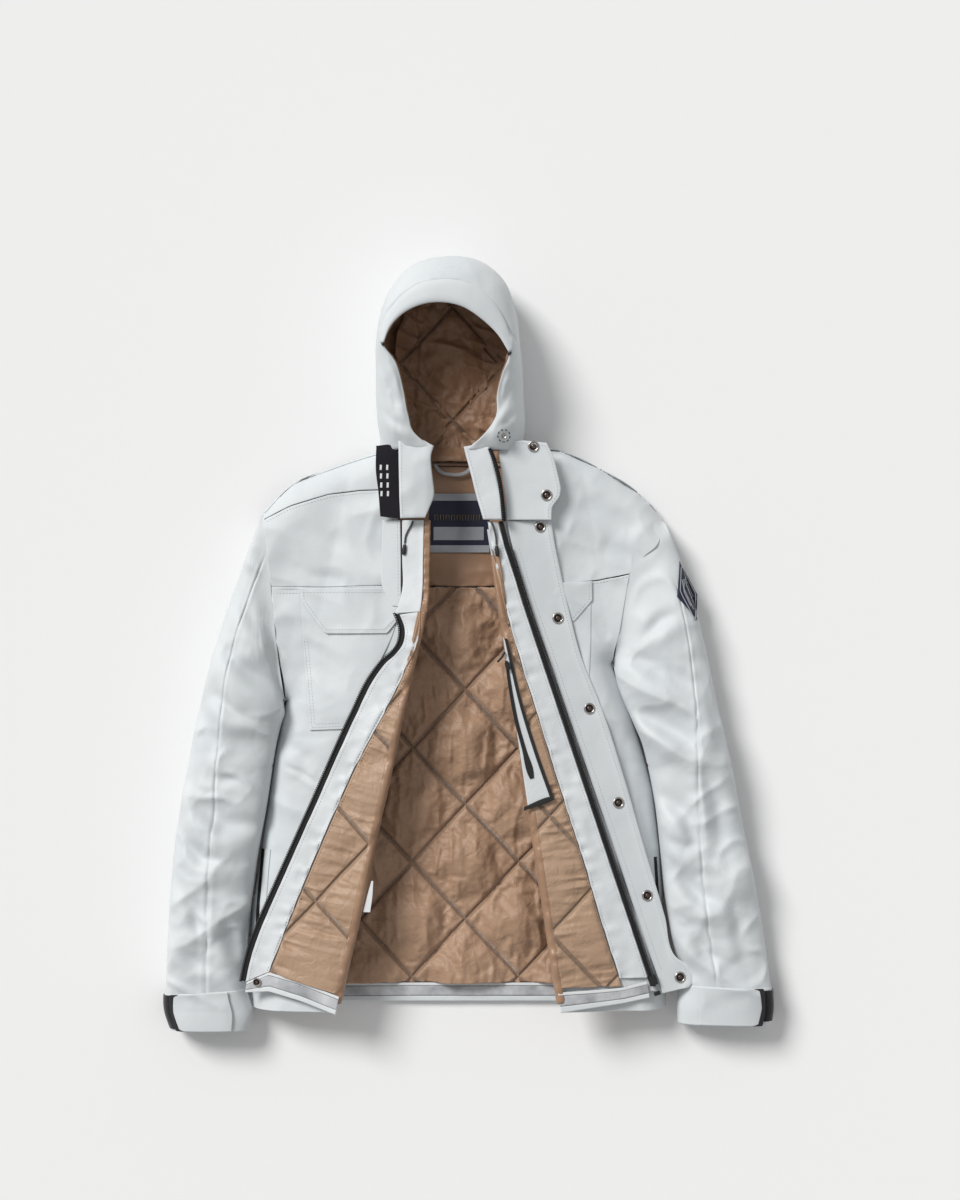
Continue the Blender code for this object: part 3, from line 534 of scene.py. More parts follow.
# ================================================================ materials
def nodes_of(name):
    mat = bpy.data.materials.new(name)
    mat.use_nodes = True
    nt = mat.node_tree
    return mat, nt, nt.nodes["Principled BSDF"]


def link(nt, a, ai, b, bi):
    nt.links.new(a.outputs[ai], b.inputs[bi])


def node(nt, kind, **values):
    n = nt.nodes.new(kind)
    for k, v in values.items():
        if k in n.inputs:
            n.inputs[k].default_value = v
        else:
            setattr(n, k, v)
    return n


def cloth_material(name, low, high, rough=(0.5, 0.7), sheen=0.2, thread=0.0009, weave=0.25, fine=0.15,
                   spec=0.4, metal=0.0, aniso=0.0, cloud=14.0, twill=False, crinkle=0.0):
    """Woven cloth: threads, a fine crinkle and slow changes of shade, laid on
    the piece's own UV map, which is in metres."""
    mat, nt, bsdf = nodes_of(name)
    tc = node(nt, "ShaderNodeTexCoord")
    mp = node(nt, "ShaderNodeMapping")
    link(nt, tc, "UV", mp, "Vector")
    if twill:
        mp.inputs["Rotation"].default_value = (0, 0, math.radians(38))
    scale = 0.314 / thread
    wx = node(nt, "ShaderNodeTexWave", wave_type="BANDS", bands_direction="X", Scale=scale)
    wy = node(nt, "ShaderNodeTexWave", wave_type="BANDS", bands_direction="Y", Scale=scale)
    for w in (wx, wy):
        w.inputs["Distortion"].default_value = 0.4
        w.inputs["Detail Scale"].default_value = 2.0
        link(nt, mp, "Vector", w, "Vector")
    mul = node(nt, "ShaderNodeMath", operation="MULTIPLY")
    link(nt, wx, "Fac", mul, 0)
    link(nt, wy, "Fac", mul, 1)
    big = node(nt, "ShaderNodeTexNoise", Scale=cloud, Detail=4.0, Roughness=0.55)
    small = node(nt, "ShaderNodeTexNoise", Scale=260.0, Detail=5.0, Roughness=0.6)
    link(nt, mp, "Vector", big, "Vector")
    link(nt, mp, "Vector", small, "Vector")
    ramp = node(nt, "ShaderNodeValToRGB")
    ramp.color_ramp.elements[0].position, ramp.color_ramp.elements[1].position = 0.30, 0.72
    ramp.color_ramp.elements[0].color, ramp.color_ramp.elements[1].color = (*low, 1), (*high, 1)
    link(nt, big, "Fac", ramp, "Fac")
    mix = node(nt, "ShaderNodeMix", data_type="RGBA", blend_type="MULTIPLY")
    mix.inputs[0].default_value = 0.10
    link(nt, ramp, "Color", mix, 6)
    link(nt, mul, "Value", mix, 7)
    nt.links.new(mix.outputs[2], bsdf.inputs["Base Color"])
    rr = node(nt, "ShaderNodeMapRange")
    rr.inputs["To Min"].default_value, rr.inputs["To Max"].default_value = rough
    link(nt, small, "Fac", rr, "Value")
    link(nt, rr, "Result", bsdf, "Roughness")
    b1 = node(nt, "ShaderNodeBump", Strength=weave, Distance=0.0002)
    link(nt, mul, "Value", b1, "Height")
    b2 = node(nt, "ShaderNodeBump", Strength=fine, Distance=0.0006)
    link(nt, small, "Fac", b2, "Height")
    link(nt, b1, "Normal", b2, "Normal")
    last = b2
    if crinkle:
        vo = node(nt, "ShaderNodeTexNoise", Scale=75.0, Detail=3.0, Roughness=0.5)
        vo.inputs["Distortion"].default_value = 1.2
        link(nt, mp, "Vector", vo, "Vector")
        b3 = node(nt, "ShaderNodeBump", Strength=crinkle, Distance=0.002)
        link(nt, vo, "Fac", b3, "Height")
        link(nt, b2, "Normal", b3, "Normal")
        last = b3
    link(nt, last, "Normal", bsdf, "Normal")
    bsdf.inputs["Sheen Weight"].default_value = sheen
    bsdf.inputs["Sheen Roughness"].default_value = 0.4
    bsdf.inputs["Specular IOR Level"].default_value = spec
    bsdf.inputs["Metallic"].default_value = metal
    bsdf.inputs["Anisotropic"].default_value = aniso
    return mat


def hard_material(name, colour, rough=0.35, metal=0.0, spec=0.5, wear=0.06, scale=900.0):
    mat, nt, bsdf = nodes_of(name)
    tc = node(nt, "ShaderNodeTexCoord")
    n = node(nt, "ShaderNodeTexNoise", Scale=scale, Detail=4.0, Roughness=0.6)
    link(nt, tc, "Object", n, "Vector")
    ramp = node(nt, "ShaderNodeValToRGB")
    ramp.color_ramp.elements[0].color = (*[c * (1 - wear * 2) for c in colour], 1)
    ramp.color_ramp.elements[1].color = (*[min(1, c * (1 + wear * 3) + 0.004) for c in colour], 1)
    link(nt, n, "Fac", ramp, "Fac")
    link(nt, ramp, "Color", bsdf, "Base Color")
    rr = node(nt, "ShaderNodeMapRange")
    rr.inputs["To Min"].default_value, rr.inputs["To Max"].default_value = rough * 0.8, rough * 1.3
    link(nt, n, "Fac", rr, "Value")
    link(nt, rr, "Result", bsdf, "Roughness")
    b = node(nt, "ShaderNodeBump", Strength=0.12, Distance=0.0002)
    link(nt, n, "Fac", b, "Height")
    link(nt, b, "Normal", bsdf, "Normal")
    bsdf.inputs["Metallic"].default_value = metal
    bsdf.inputs["Specular IOR Level"].default_value = spec
    return mat


SHELL = cloth_material("shell_cloth", (0.665, 0.705, 0.725), (0.725, 0.755, 0.77), rough=(0.50, 0.66), sheen=0.12, thread=0.0010, weave=0.22, fine=0.12, crinkle=0.10)
FACING = cloth_material("facing_cloth", (0.71, 0.74, 0.76), (0.77, 0.795, 0.81), rough=(0.42, 0.58), sheen=0.15, thread=0.0008, weave=0.2, fine=0.15, crinkle=0.22)
SATIN = cloth_material("lining_satin", (0.330, 0.190, 0.112), (0.420, 0.250, 0.152), rough=(0.34, 0.46), sheen=0.25, thread=0.0005, weave=0.12, fine=0.10, spec=0.6, aniso=0.5, cloud=9.0, crinkle=0.16)
# a darker copy of the lining satin for the hood: painted shade
HOODLIN_SHADED = cloth_material("hood_satin_shaded", (0.30, 0.17, 0.10), (0.38, 0.225, 0.138), rough=(0.34, 0.46), sheen=0.2, thread=0.0005, weave=0.12, fine=0.10, spec=0.5, aniso=0.5, cloud=9.0, crinkle=0.16)
TAPE = cloth_material("zip_tape", (0.006, 0.006, 0.007), (0.011, 0.011, 0.013), rough=(0.6, 0.8), sheen=0.0, thread=0.0007, weave=0.6, fine=0.2, twill=True)
VELVET = cloth_material("loop_tape", (0.010, 0.009, 0.012), (0.022, 0.020, 0.026), rough=(0.85, 1.0), sheen=0.5, thread=0.0013, weave=0.9, fine=0.8, spec=0.15)
# the reflective tape's wide swing between grey and near white is painted reflection from its crinkled film
REFLECTOR_PAINTED_GLINTS = cloth_material("reflective_tape_painted_glints", (0.30, 0.31, 0.33), (0.72, 0.73, 0.75), rough=(0.28, 0.42), sheen=0.0, thread=0.0006, weave=0.2, fine=0.3, spec=0.7, cloud=30.0)
BINDING = cloth_material("white_binding", (0.74, 0.75, 0.76), (0.82, 0.83, 0.84), rough=(0.5, 0.7), sheen=0.2, thread=0.0011, weave=0.5, fine=0.2, twill=True)
NAVY = cloth_material("label_cloth", (0.012, 0.014, 0.038), (0.022, 0.024, 0.055), rough=(0.55, 0.75), sheen=0.2, thread=0.0006, weave=0.4, fine=0.2)
LABELGREY = cloth_material("label_thread", (0.34, 0.36, 0.40), (0.42, 0.44, 0.47), rough=(0.5, 0.7), sheen=0.2, thread=0.0006, weave=0.4, fine=0.2)
CORDGREY = cloth_material("cord_braid", (0.055, 0.06, 0.065), (0.11, 0.115, 0.12), rough=(0.6, 0.8), sheen=0.2, thread=0.0009, weave=0.9, fine=0.4, twill=True)
LOOPGREY = cloth_material("loop_webbing", (0.38, 0.39, 0.41), (0.47, 0.48, 0.49), rough=(0.5, 0.7), sheen=0.2, thread=0.0008, weave=0.8, fine=0.3, twill=True)
PLASTIC = hard_material("zip_plastic", (0.012, 0.012, 0.013), rough=0.38)
RUBBER = hard_material("moulded_black", (0.014, 0.014, 0.015), rough=0.5)
METAL = hard_material("snap_antique", (0.46, 0.44, 0.42), rough=0.26, metal=1.0, wear=0.2)
METALDARK = hard_material("snap_socket", (0.05, 0.035, 0.03), rough=0.4, metal=0.9, wear=0.3)
METALCAP = hard_material("snap_centre", (0.16, 0.13, 0.12), rough=0.3, metal=1.0, wear=0.3)
THREAD_LIGHT = cloth_material("thread_white", (0.62, 0.65, 0.68), (0.72, 0.74, 0.76), rough=(0.5, 0.7), sheen=0.2, thread=0.0004, weave=0.8, fine=0.2, twill=True)
THREAD_BROWN = cloth_material("thread_brown", (0.20, 0.11, 0.06), (0.28, 0.16, 0.09), rough=(0.5, 0.7), sheen=0.2, thread=0.0004, weave=0.8, fine=0.2, twill=True)
THREAD_NAVY = cloth_material("thread_navy", (0.03, 0.03, 0.05), (0.05, 0.05, 0.08), rough=(0.5, 0.7), sheen=0.2, thread=0.0004, weave=0.8, fine=0.2, twill=True)


def add_quilt(mat, shift=(0.0, 0.0), depth=1.0, thread_and_valley_shade=0.50):
    """Quilting lines on a lining: a stitched valley, with its base colour darkened along the line, partly for the
    stitch thread and partly as painted shade in its depth.
    """
    nt = mat.node_tree
    bsdf = nt.nodes["Principled BSDF"]
    k = QH / QW
    per = 1 / (UNIT * QH)
    tc = node(nt, "ShaderNodeTexCoord")
    dist = []
    for sg, c in ((1, 1307.4), (-1, 307.5)):
        const = (CV + shift[1] * QH + sg * k * (CU + shift[0] * QW) - c) / QH
        dot = node(nt, "ShaderNodeVectorMath", operation="DOT_PRODUCT")
        link(nt, tc, "UV", dot, 0)
        dot.inputs[1].default_value = (sg * k * per, -per, 0)
        wob = node(nt, "ShaderNodeTexNoise", Scale=14.0, Detail=3.0)
        link(nt, tc, "UV", wob, "Vector")
        wm = node(nt, "ShaderNodeMath", operation="MULTIPLY_ADD")
        link(nt, wob, "Fac", wm, 0)
        wm.inputs[1].default_value, wm.inputs[2].default_value = 0.045, const - 0.0225
        add = node(nt, "ShaderNodeMath", operation="ADD")
        nt.links.new(dot.outputs["Value"], add.inputs[0])
        link(nt, wm, "Value", add, 1)
        pp = node(nt, "ShaderNodeMath", operation="PINGPONG")
        link(nt, add, "Value", pp, 0)
        pp.inputs[1].default_value = 0.5
        dist.append(pp)
    mn = node(nt, "ShaderNodeMath", operation="MINIMUM")
    link(nt, dist[0], "Value", mn, 0)
    link(nt, dist[1], "Value", mn, 1)
    valley = node(nt, "ShaderNodeMapRange", interpolation_type="SMOOTHSTEP")
    valley.inputs["From Max"].default_value = 4.0 / QH
    link(nt, mn, "Value", valley, "Value")
    b = node(nt, "ShaderNodeBump", Strength=depth, Distance=0.0035)
    link(nt, valley, "Result", b, "Height")
    old = bsdf.inputs["Normal"].links[0].from_socket
    nt.links.new(old, b.inputs["Normal"])
    link(nt, b, "Normal", bsdf, "Normal")
    # the base colour is darkened along each quilting line: partly the stitch thread's tone, partly painted shade in the
    # valley
    seam = node(nt, "ShaderNodeMapRange", interpolation_type="SMOOTHSTEP")
    seam.inputs["From Max"].default_value = 0.95 / QH
    seam.inputs["To Min"].default_value = thread_and_valley_shade
    link(nt, mn, "Value", seam, "Value")
    mix = node(nt, "ShaderNodeMix", data_type="RGBA", blend_type="MULTIPLY")
    mix.inputs[0].default_value = 1.0
    nt.links.new(bsdf.inputs["Base Color"].links[0].from_socket, mix.inputs[6])
    link(nt, seam, "Result", mix, 7)
    nt.links.new(mix.outputs[2], bsdf.inputs["Base Color"])
    return mat


def satin(name, shift=None, low=(0.330, 0.190, 0.112), high=(0.420, 0.250, 0.152)):
    mat = cloth_material(name, low, high, rough=(0.42, 0.58), sheen=0.30, thread=0.0005, weave=0.12, fine=0.22, spec=0.42, aniso=0.4, cloud=9.0, crinkle=0.85)
    return mat if shift is None else add_quilt(mat, shift)


SHIFT = {"right": (0.37, 0.21), "left": (-0.28, 0.44)}
SATIN_BACK = satin("lining_back", (0.0, 0.0), (0.37, 0.225, 0.14), (0.48, 0.31, 0.205))
# the lapel copies of the lining satin are lighter than the back: painted light on the lit lapels
SATIN_R_LIT = satin("lining_right_lit", SHIFT["right"], (0.42, 0.272, 0.176), (0.51, 0.34, 0.228))
SATIN_L_LIT = satin("lining_left_lit", SHIFT["left"], (0.42, 0.272, 0.176), (0.51, 0.34, 0.228))
# the hood copy of the lining satin is darker than the rest: painted shade inside the hood
SATIN_HOOD_SHADED = satin("lining_hood_shaded", (0.12, 0.35), (0.28, 0.155, 0.09), (0.36, 0.21, 0.125))


# ============================================== the fronts and their relief
EDGES = {
    "right": [
        [(392, 449), (372, 452), (330, 466), (290, 483), (262, 510)],
        [(284, 702), (274, 745), (266, 800), (257, 860), (250, 900), (247, 950), (250, 1012)],
    ],
    "left": [
        [(504, 445), (562, 450), (600, 467), (640, 492), (665, 518)],
        [(614, 664), (632, 711), (647, 760), (655, 790), (661, 840), (665, 900), (667, 950), (669, 1012)],
    ],
}
FOLDS = {
    "right": [   # points, half width, depth
        ([(284, 765), (300, 772), (322, 786)], 2.6, 0.0016), ([(262, 800), (280, 830), (286, 870)], 9, 0.0030),
        ([(275, 735), (292, 748), (312, 762)], 8, 0.0024), ([(250, 870), (268, 905), (262, 960)], 9, 0.0030),
        ([(275, 640), (285, 690), (296, 735)], 7, 0.0016), ([(300, 520), (330, 540), (372, 552)], 10, 0.0014),
        ([(285, 560), (310, 575), (352, 580)], 6, 0.0010), ([(300, 850), (286, 900), (262, 940)], 8, 0.0020),
    ],
    "left": [
        ([(600, 640), (612, 680), (640, 740)], 7, 0.0022), ([(622, 690), (640, 715), (655, 760)], 6, 0.0020),
        ([(590, 620), (612, 640), (622, 668)], 8, 0.0020), ([(640, 780), (646, 830), (660, 880)], 6, 0.0020),
        ([(575, 500), (612, 520), (650, 530)], 10, 0.0016), ([(590, 545), (620, 552), (645, 560)], 8, 0.0012),
        ([(655, 870), (662, 910), (668, 950)], 5, 0.0018), ([(598, 690), (622, 742), (636, 800)], 7, 0.0016),
    ],
}


def front(side, U, V):
    d = fold_distance(side, U, V)
    most = 105.0 + 60.0 * np.clip((V - 720.0) / 80.0, 0, 1)
    top = CREASE_Z - SLOPE * np.minimum(d, most) * UNIT
    q = np.minimum(1, np.minimum(line_distance(U, V, EDGES[side][0])[0], line_distance(U, V, EDGES[side][1])[0]) / 30.0)
    return 0.0075 + (top - 0.0075) * (1 - (1 - q) ** 2.4) ** (1 / 2.4)


def relief(side, U, V):
    """Soft folds and small rumples of a front's shell."""
    x, y = X(U), Y(V)
    seed = 3 if side == "right" else 8
    z = 0.20 * crumple(x, y, seed) + 0.0006 * fbm(x * 34, y * 26, 3, seed) + 0.0026 * fbm(x * 9, y * 6, 2, seed + 4)
    z = z + 0.0062 * (ridged(x * 9 + y * 5, y * 11 - x * 5, seed + 1) - 0.3) + 0.0024 * (ridged(x * 21 - y * 9, y * 20 + x * 12, seed + 2) - 0.3)
    for pts, width, depth in FOLDS[side]:
        z = z + 1.7 * crease(U, V, pts, width, depth)
    d = fold_distance(side, U, V)
    return 0.0060 * np.tanh(z / 0.0060) * smoothstep(8, 60, d)


def lapel_wave(side, U, V):
    """Slow undulation shared by every layer of a folded front."""
    x, y = X(U), Y(V)
    return 0.0016 * fbm(x * 8, y * 9, 2, 21 if side == "right" else 27) * smoothstep(0, 40, V - 560)


def shell_z(side, extra=0.0):
    return lambda U, V: front(side, U, V) + relief(side, U, V) + extra


def lapel_z(side, extra):
    return lambda U, V: plane(side, U, V) + lapel_wave(side, U, V) + extra


def seam_pucker(U, V, pts, reach, amp, pitch, seed):
    """Short gathers that run out from a stitched line."""
    d, s, t = line_distance(U, V, pts)
    total = np.linalg.norm(np.diff(np.asarray(pts, float), axis=0), axis=1).sum()
    return amp * vnoise(t * total / pitch, s * 0.04, seed) * 2 * np.exp(-(d / reach) ** 2) * (1 - np.exp(-(d / (reach * 0.12)) ** 2))


SHELL_CUT = 0.0018

# ------------------------------------------------------------ front shells
RIGHT_SHOULDER = [(263.5, 519), (290, 506), (330, 494), (360, 490.5), (397, 489.5)]
YOKE_R = [(270.8, 587), (320, 587.5), (360, 586.5), (400, 586)]
panel("right_shoulder_cloth", [
    [(263, 512), (290, 484.5), (330, 468), (372, 454.5), (386, 451)],
    [(263.2, 515), (290, 495), (330, 480), (372, 470), (396, 468)],
    [(263.4, 518.6), (290, 505.6), (330, 493.6), (360, 490.1), (397, 489.1)],
], shell_z("right"), SHELL_CUT, SHELL, "torso", nodes=("right_front_shell",))
panel("right_yoke_cloth", [
    [(263.6, 519.4), (290, 506.4), (330, 494.4), (360, 490.9), (397, 489.9)],
    [(266, 545), (300, 534), (334, 526), (372, 518), (398, 516)],
    [(270.6, 586.4), (320, 587), (360, 586), (400, 585.6)],
], lambda U, V: shell_z("right")(U, V) + seam_pucker(U, V, YOKE_R, 14, 0.0006, 9, 3), SHELL_CUT, SHELL, "torso")
panel("right_body_cloth", [
    [(270.9, 586.6), (320, 587.2), (360, 586.2), (400, 585.8)],
    [(276, 640), (413, 640)],
    [(284, 700), (400, 700)],
    [(274, 745), (391, 745)],
    [(266, 800), (379, 800)],
    [(257, 860), (366, 860)],
    [(250, 905), (356, 905)],
    [(247, 955), (345, 955)],
    [(250, 1010), (333, 1010)],
], lambda U, V: shell_z("right")(U, V) + seam_pucker(U, V, YOKE_R, 12, 0.0006, 8, 4), SHELL_CUT, SHELL, "torso")
for off in (1.6, 5.6):
    stitches("torso", [(272, 587.4 + off), (320, 587.6 + off), (378, 586.6 + off)], shell_z("right"))
stitches("torso", [(266, 522), (290, 509), (330, 497), (360, 493.4), (380, 492.8)], shell_z("right"))

YOKE_L = [(563, 584.6), (600, 580), (629, 574)]
panel("left_yoke_cloth", [
    [(508, 446), (562, 452), (600, 468.5), (640, 493), (664, 519)],
    [(508, 455), (562, 461), (599, 477), (637, 501), (662, 528)],
    [(506, 472), (560, 478), (598, 493), (633, 515), (659, 542)],
    [(505, 505), (560, 512), (598, 522), (632, 538), (645, 556)],
    [(500, 584.6), (563, 584.2), (600, 579.6), (629.5, 573.4)],
], lambda U, V: shell_z("left")(U, V) + seam_pucker(U, V, YOKE_L, 14, 0.0006, 9, 5), SHELL_CUT, SHELL, "torso", nodes=("left_front_shell",))
panel("left_body_cloth", [
    [(500, 585.6), (563, 585.2), (600, 580.6), (629.5, 574.4)],
    [(505, 625), (620, 630)],
    [(510, 662), (614, 664)],
    [(516, 711), (631, 711)],
    [(523, 760), (646, 760)],
    [(529, 800), (656, 800)],
    [(538, 860), (662, 860)],
    [(544, 905), (665, 905)],
    [(552, 955), (667, 955)],
    [(561, 1010), (669, 1010)],
], lambda U, V: shell_z("left")(U, V) + seam_pucker(U, V, YOKE_L, 12, 0.0006, 8, 6), SHELL_CUT, SHELL, "torso")
stitches("torso", [(563, 587.4), (600, 582.8), (628, 576.8)], shell_z("left"))

# lining on the underside of each front, down to the side of the body
for side, sgn in (("right", -1), ("left", 1)):
    if side == "right":
        rows = [[(fold_u(side, v, 30), v), (edge, v)] for v, edge in ((600, 276), (700, 290), (760, 276), (800, 270), (860, 262), (905, 256), (955, 253), (1004, 255))]
        rows = [r[::-1] for r in rows]
    else:
        rows = [[(fold_u(side, v, 30), v), (edge, v)] for v, edge in ((600, 618), (664, 606), (711, 620), (760, 636), (800, 648), (860, 655), (905, 658), (955, 660), (1004, 662))]
    panel(side + "_inner_lining", rows, lambda U, V, side=side: np.maximum(front(side, U, V) - 0.0052, 0.0042) + 0.0012 * fbm(X(U) * 30, Y(V) * 30, 2, 5) - 0.0006,
          0.0008, SATIN, "torso", step=0.006, slot="lining")

# ------------------------------------------------------------- back panels
BACK_OUT = [(262, 511), (271, 520), (276, 586), (286, 650), (292, 702), (280, 760), (270, 830), (258, 905), (254, 1006)]
panel("back_cloth", [
    [(392, 462), (450, 464), (545, 462)],
    [(330, 476), (450, 474), (602, 477)],
    [(290, 493), (450, 488), (640, 501)],
    [(271, 520), (450, 520), (656, 526)],
    [(276, 586), (626, 586)],
    [(286, 650), (618, 660)],
    [(292, 702), (622, 690)],
    [(280, 760), (640, 750)],
    [(270, 830), (652, 820)],
    [(258, 905), (659, 900)],
    [(254, 1006), (662, 1006)],
], lambda U, V: 0.0024 + 0.0003 * fbm(X(U) * 20, Y(V) * 20, 2, 9), 0.0018, SHELL, "torso", step=0.008, nodes=("back_shell",))

for side, upper, lower in (
        ("right", [(391, 450.5), (372, 453.6), (330, 467.6), (290, 484.8), (263.6, 511.6)], [(392, 463), (374, 466), (332, 478), (293, 494), (269, 517)]),
        ("left", [(505, 446.8), (562, 451.6), (600, 468.8), (640, 493.8), (664, 519.4)], [(506, 463), (556, 465), (596, 480), (632, 503), (656, 526)])):
    strip(side + "_shoulder_seam_cloth", upper, lower, lambda U, V, upper=upper: 0.0074 - 0.0038 * smoothstep(0, 9, line_distance(U, V, upper)[0]) + 0.0003 * fbm(X(U) * 40, Y(V) * 40, 2, 19), 0.0014, SHELL, "torso", n=24, step=0.0030)

for side, upper, edge in (
        ("right", [(386, 451.8), (372, 455.4), (330, 469.0), (290, 485.6), (264.2, 512.6)], [(390, 449.2), (372, 452.0), (330, 466.0), (290, 483.0), (262.2, 510.2)]),
        ("left", [(508, 447.0), (562, 453.0), (600, 469.6), (640, 494.0), (663.6, 519.8)], [(506, 445.2), (562, 450.0), (600, 467.0), (640, 492.0), (664.8, 518.0)])):
    strip(side + "_shoulder_edge_cloth", upper, edge, lambda U, V, side=side: shell_z(side)(U, V) - 0.0002, 0.0014, SHELL, "torso", n=30, step=0.0007)

BACK_SEAM = [(300, 587), (380, 587), (450, 586.6), (520, 587), (604, 587)]


def quilted(U, V, base, amp=0.62, shift=(0, 0), seed=0, wrinkle=1.0, fx=95, fy=26):
    """Quilted satin: puffed diamonds, stitched valleys and fine tension lines."""
    x, y = X(U), Y(V)
    puff = quilt_puff(U, V, shift)
    line = quilt_lines(U + shift[0] * QW, V + shift[1] * QH)
    wx, wy = x + 0.006 * vnoise(x * 30, y * 30, 4), y + 0.006 * vnoise(x * 30, y * 30, 6)
    fine = 0.0026 * fbm(wx * fx, wy * fy, 3, seed) + 0.0042 * (ridged(wx * fx * 0.62, wy * fy * 0.62, seed + 2) - 0.3)
    hold = 1 - np.exp(-(line / 6.0) ** 2)
    return base + amp * puff + wrinkle * fine * (0.15 + 0.85 * hold) - 0.0016 * np.exp(-(line / 2.6) ** 2)


panel("back_quilt", [
    [(300, 587.6), (450, 587.2), (604, 587.6)],
    [(306, 650), (596, 660)],
    [(310, 702), (600, 690)],
    [(300, 760), (618, 750)],
    [(288, 830), (632, 820)],
    [(278, 905), (640, 900)],
    [(274, 987), (644, 987)],
], lambda U, V: quilted(U, V, 0.0108, 1.45, seed=1) - 0.0002, 0.0040, SATIN_BACK, "torso", step=STEP * 0.72, slot="lining", nodes=("back_lining",))
panel("back_yoke_lining", [
    [(405, 465.6), (450, 464.6), (545, 465.6)],
    [(330, 496), (450, 492), (600, 496)],
    [(298, 520), (450, 520), (634, 526)],
    [(300, 560), (620, 560)],
    [(300, 586.4), (450, 586), (604, 586.4)],
], lambda U, V: 0.0114 + 0.0030 * fbm(X(U) * 12, Y(V) * 30, 3, 14) + 0.0016 * (ridged(X(U) * 10, Y(V) * 34, 15) - 0.3) + seam_pucker(U, V, BACK_SEAM, 20, 0.0030, 7, 12),
    0.0030, SATIN, "torso", slot="lining")
panel("back_hem_binding", [
    [(274, 987.6), (644, 987.6)],
    [(274, 990.6), (644, 990.6)],
], lambda U, V: 0.0106 + 0.0003 * fbm(X(U) * 60, Y(V) * 20, 2, 2), 0.0014, BINDING, "torso", slot="shell")
panel("back_hem_reflector", [
    [(274, 991.0), (644, 991.0)],
    [(274, 1000.6), (644, 1000.6)],
], lambda U, V: 0.0100 + 0.0004 * fbm(X(U) * 60, Y(V) * 20, 2, 2), 0.0022, REFLECTOR_PAINTED_GLINTS, "torso", slot="reflective", nodes=("back_hem_tape",))
panel("back_hem_edge", [
    [(266, 1001.0), (652, 1001.0)],
    [(264, 1006.5), (654, 1006.5)],
], lambda U, V: 0.0092 + 0.0008 * fbm(X(U) * 30, Y(V) * 30, 2, 3), 0.0030, SHELL, "torso", slot="shell")

# ---------------------------------------------------------- folded fronts
ZIP_RIGHT = [(395, 613), (400, 628), (397.5, 644), (381, 661), (369.5, 676.5), (352, 711.5), (310, 804.8), (271.5, 890.9), (255, 929), (246, 956), (241, 979)]
FACE_RIGHT = [(421, 609), (418.5, 638), (408.4, 661), (394.3, 692), (373, 731), (357.8, 760), (332, 816.8), (297.5, 898), (270, 968)]
ZIP_LEFT = [(503, 522), (510, 548), (518.5, 574), (529.1, 608), (545.2, 656), (560.3, 701), (584.8, 774), (609.6, 848), (632.1, 915), (653.2, 978)]
FACE_LEFT = [(487.6, 522), (491.5, 548), (494, 560), (506, 610), (523.3, 670), (540.5, 723.6), (556, 775), (583, 858.6), (600.7, 919), (622, 985)]


def moved(points, du, dv=0.0):
    return [(u + du, v + dv) for u, v in points]


def lapel_lining(side, U, V):
    shift = SHIFT[side]
    face = FACE_RIGHT if side == "right" else FACE_LEFT
    d, sg, t = line_distance(U, V, face)
    total = np.linalg.norm(np.diff(np.asarray(face, float), axis=0), axis=1).sum()
    run = t * total + 0.16 * d + 3.0 * vnoise(U / 25, V / 25, 44)
    gather = ridged(run / 7.5, d * 0.016, 31 if side == "right" else 37) - 0.32 + 0.6 * vnoise(run / 3.6, d * 0.04, 39)
    line = quilt_lines(U + shift[0] * QW, V + shift[1] * QH)
    z = quilted(U, V, 0.0, 0.70, shift, 5, 0.35, 30, 80) + 0.0058 * gather * (0.45 + 0.55 * np.exp(-(d / 38) ** 2)) * (1 - 0.8 * np.exp(-(line / 5) ** 2))
    z = np.maximum(0.0060 * np.tanh(z / 0.0060), -0.0020) * smoothstep(0, 5, d)
    if side == "left":  # flat beneath the inner pocket
        near = line_distance(U, V, [(506, 640), (520, 720), (534, 790)])[0] - np.interp(V, [640, 720, 806], [3, 12, 24])
        z = z - (z - np.minimum(z, 0.0024)) * (1 - smoothstep(0, 9, near))
    return z + lapel_z(side, 0.0112)(U, V)


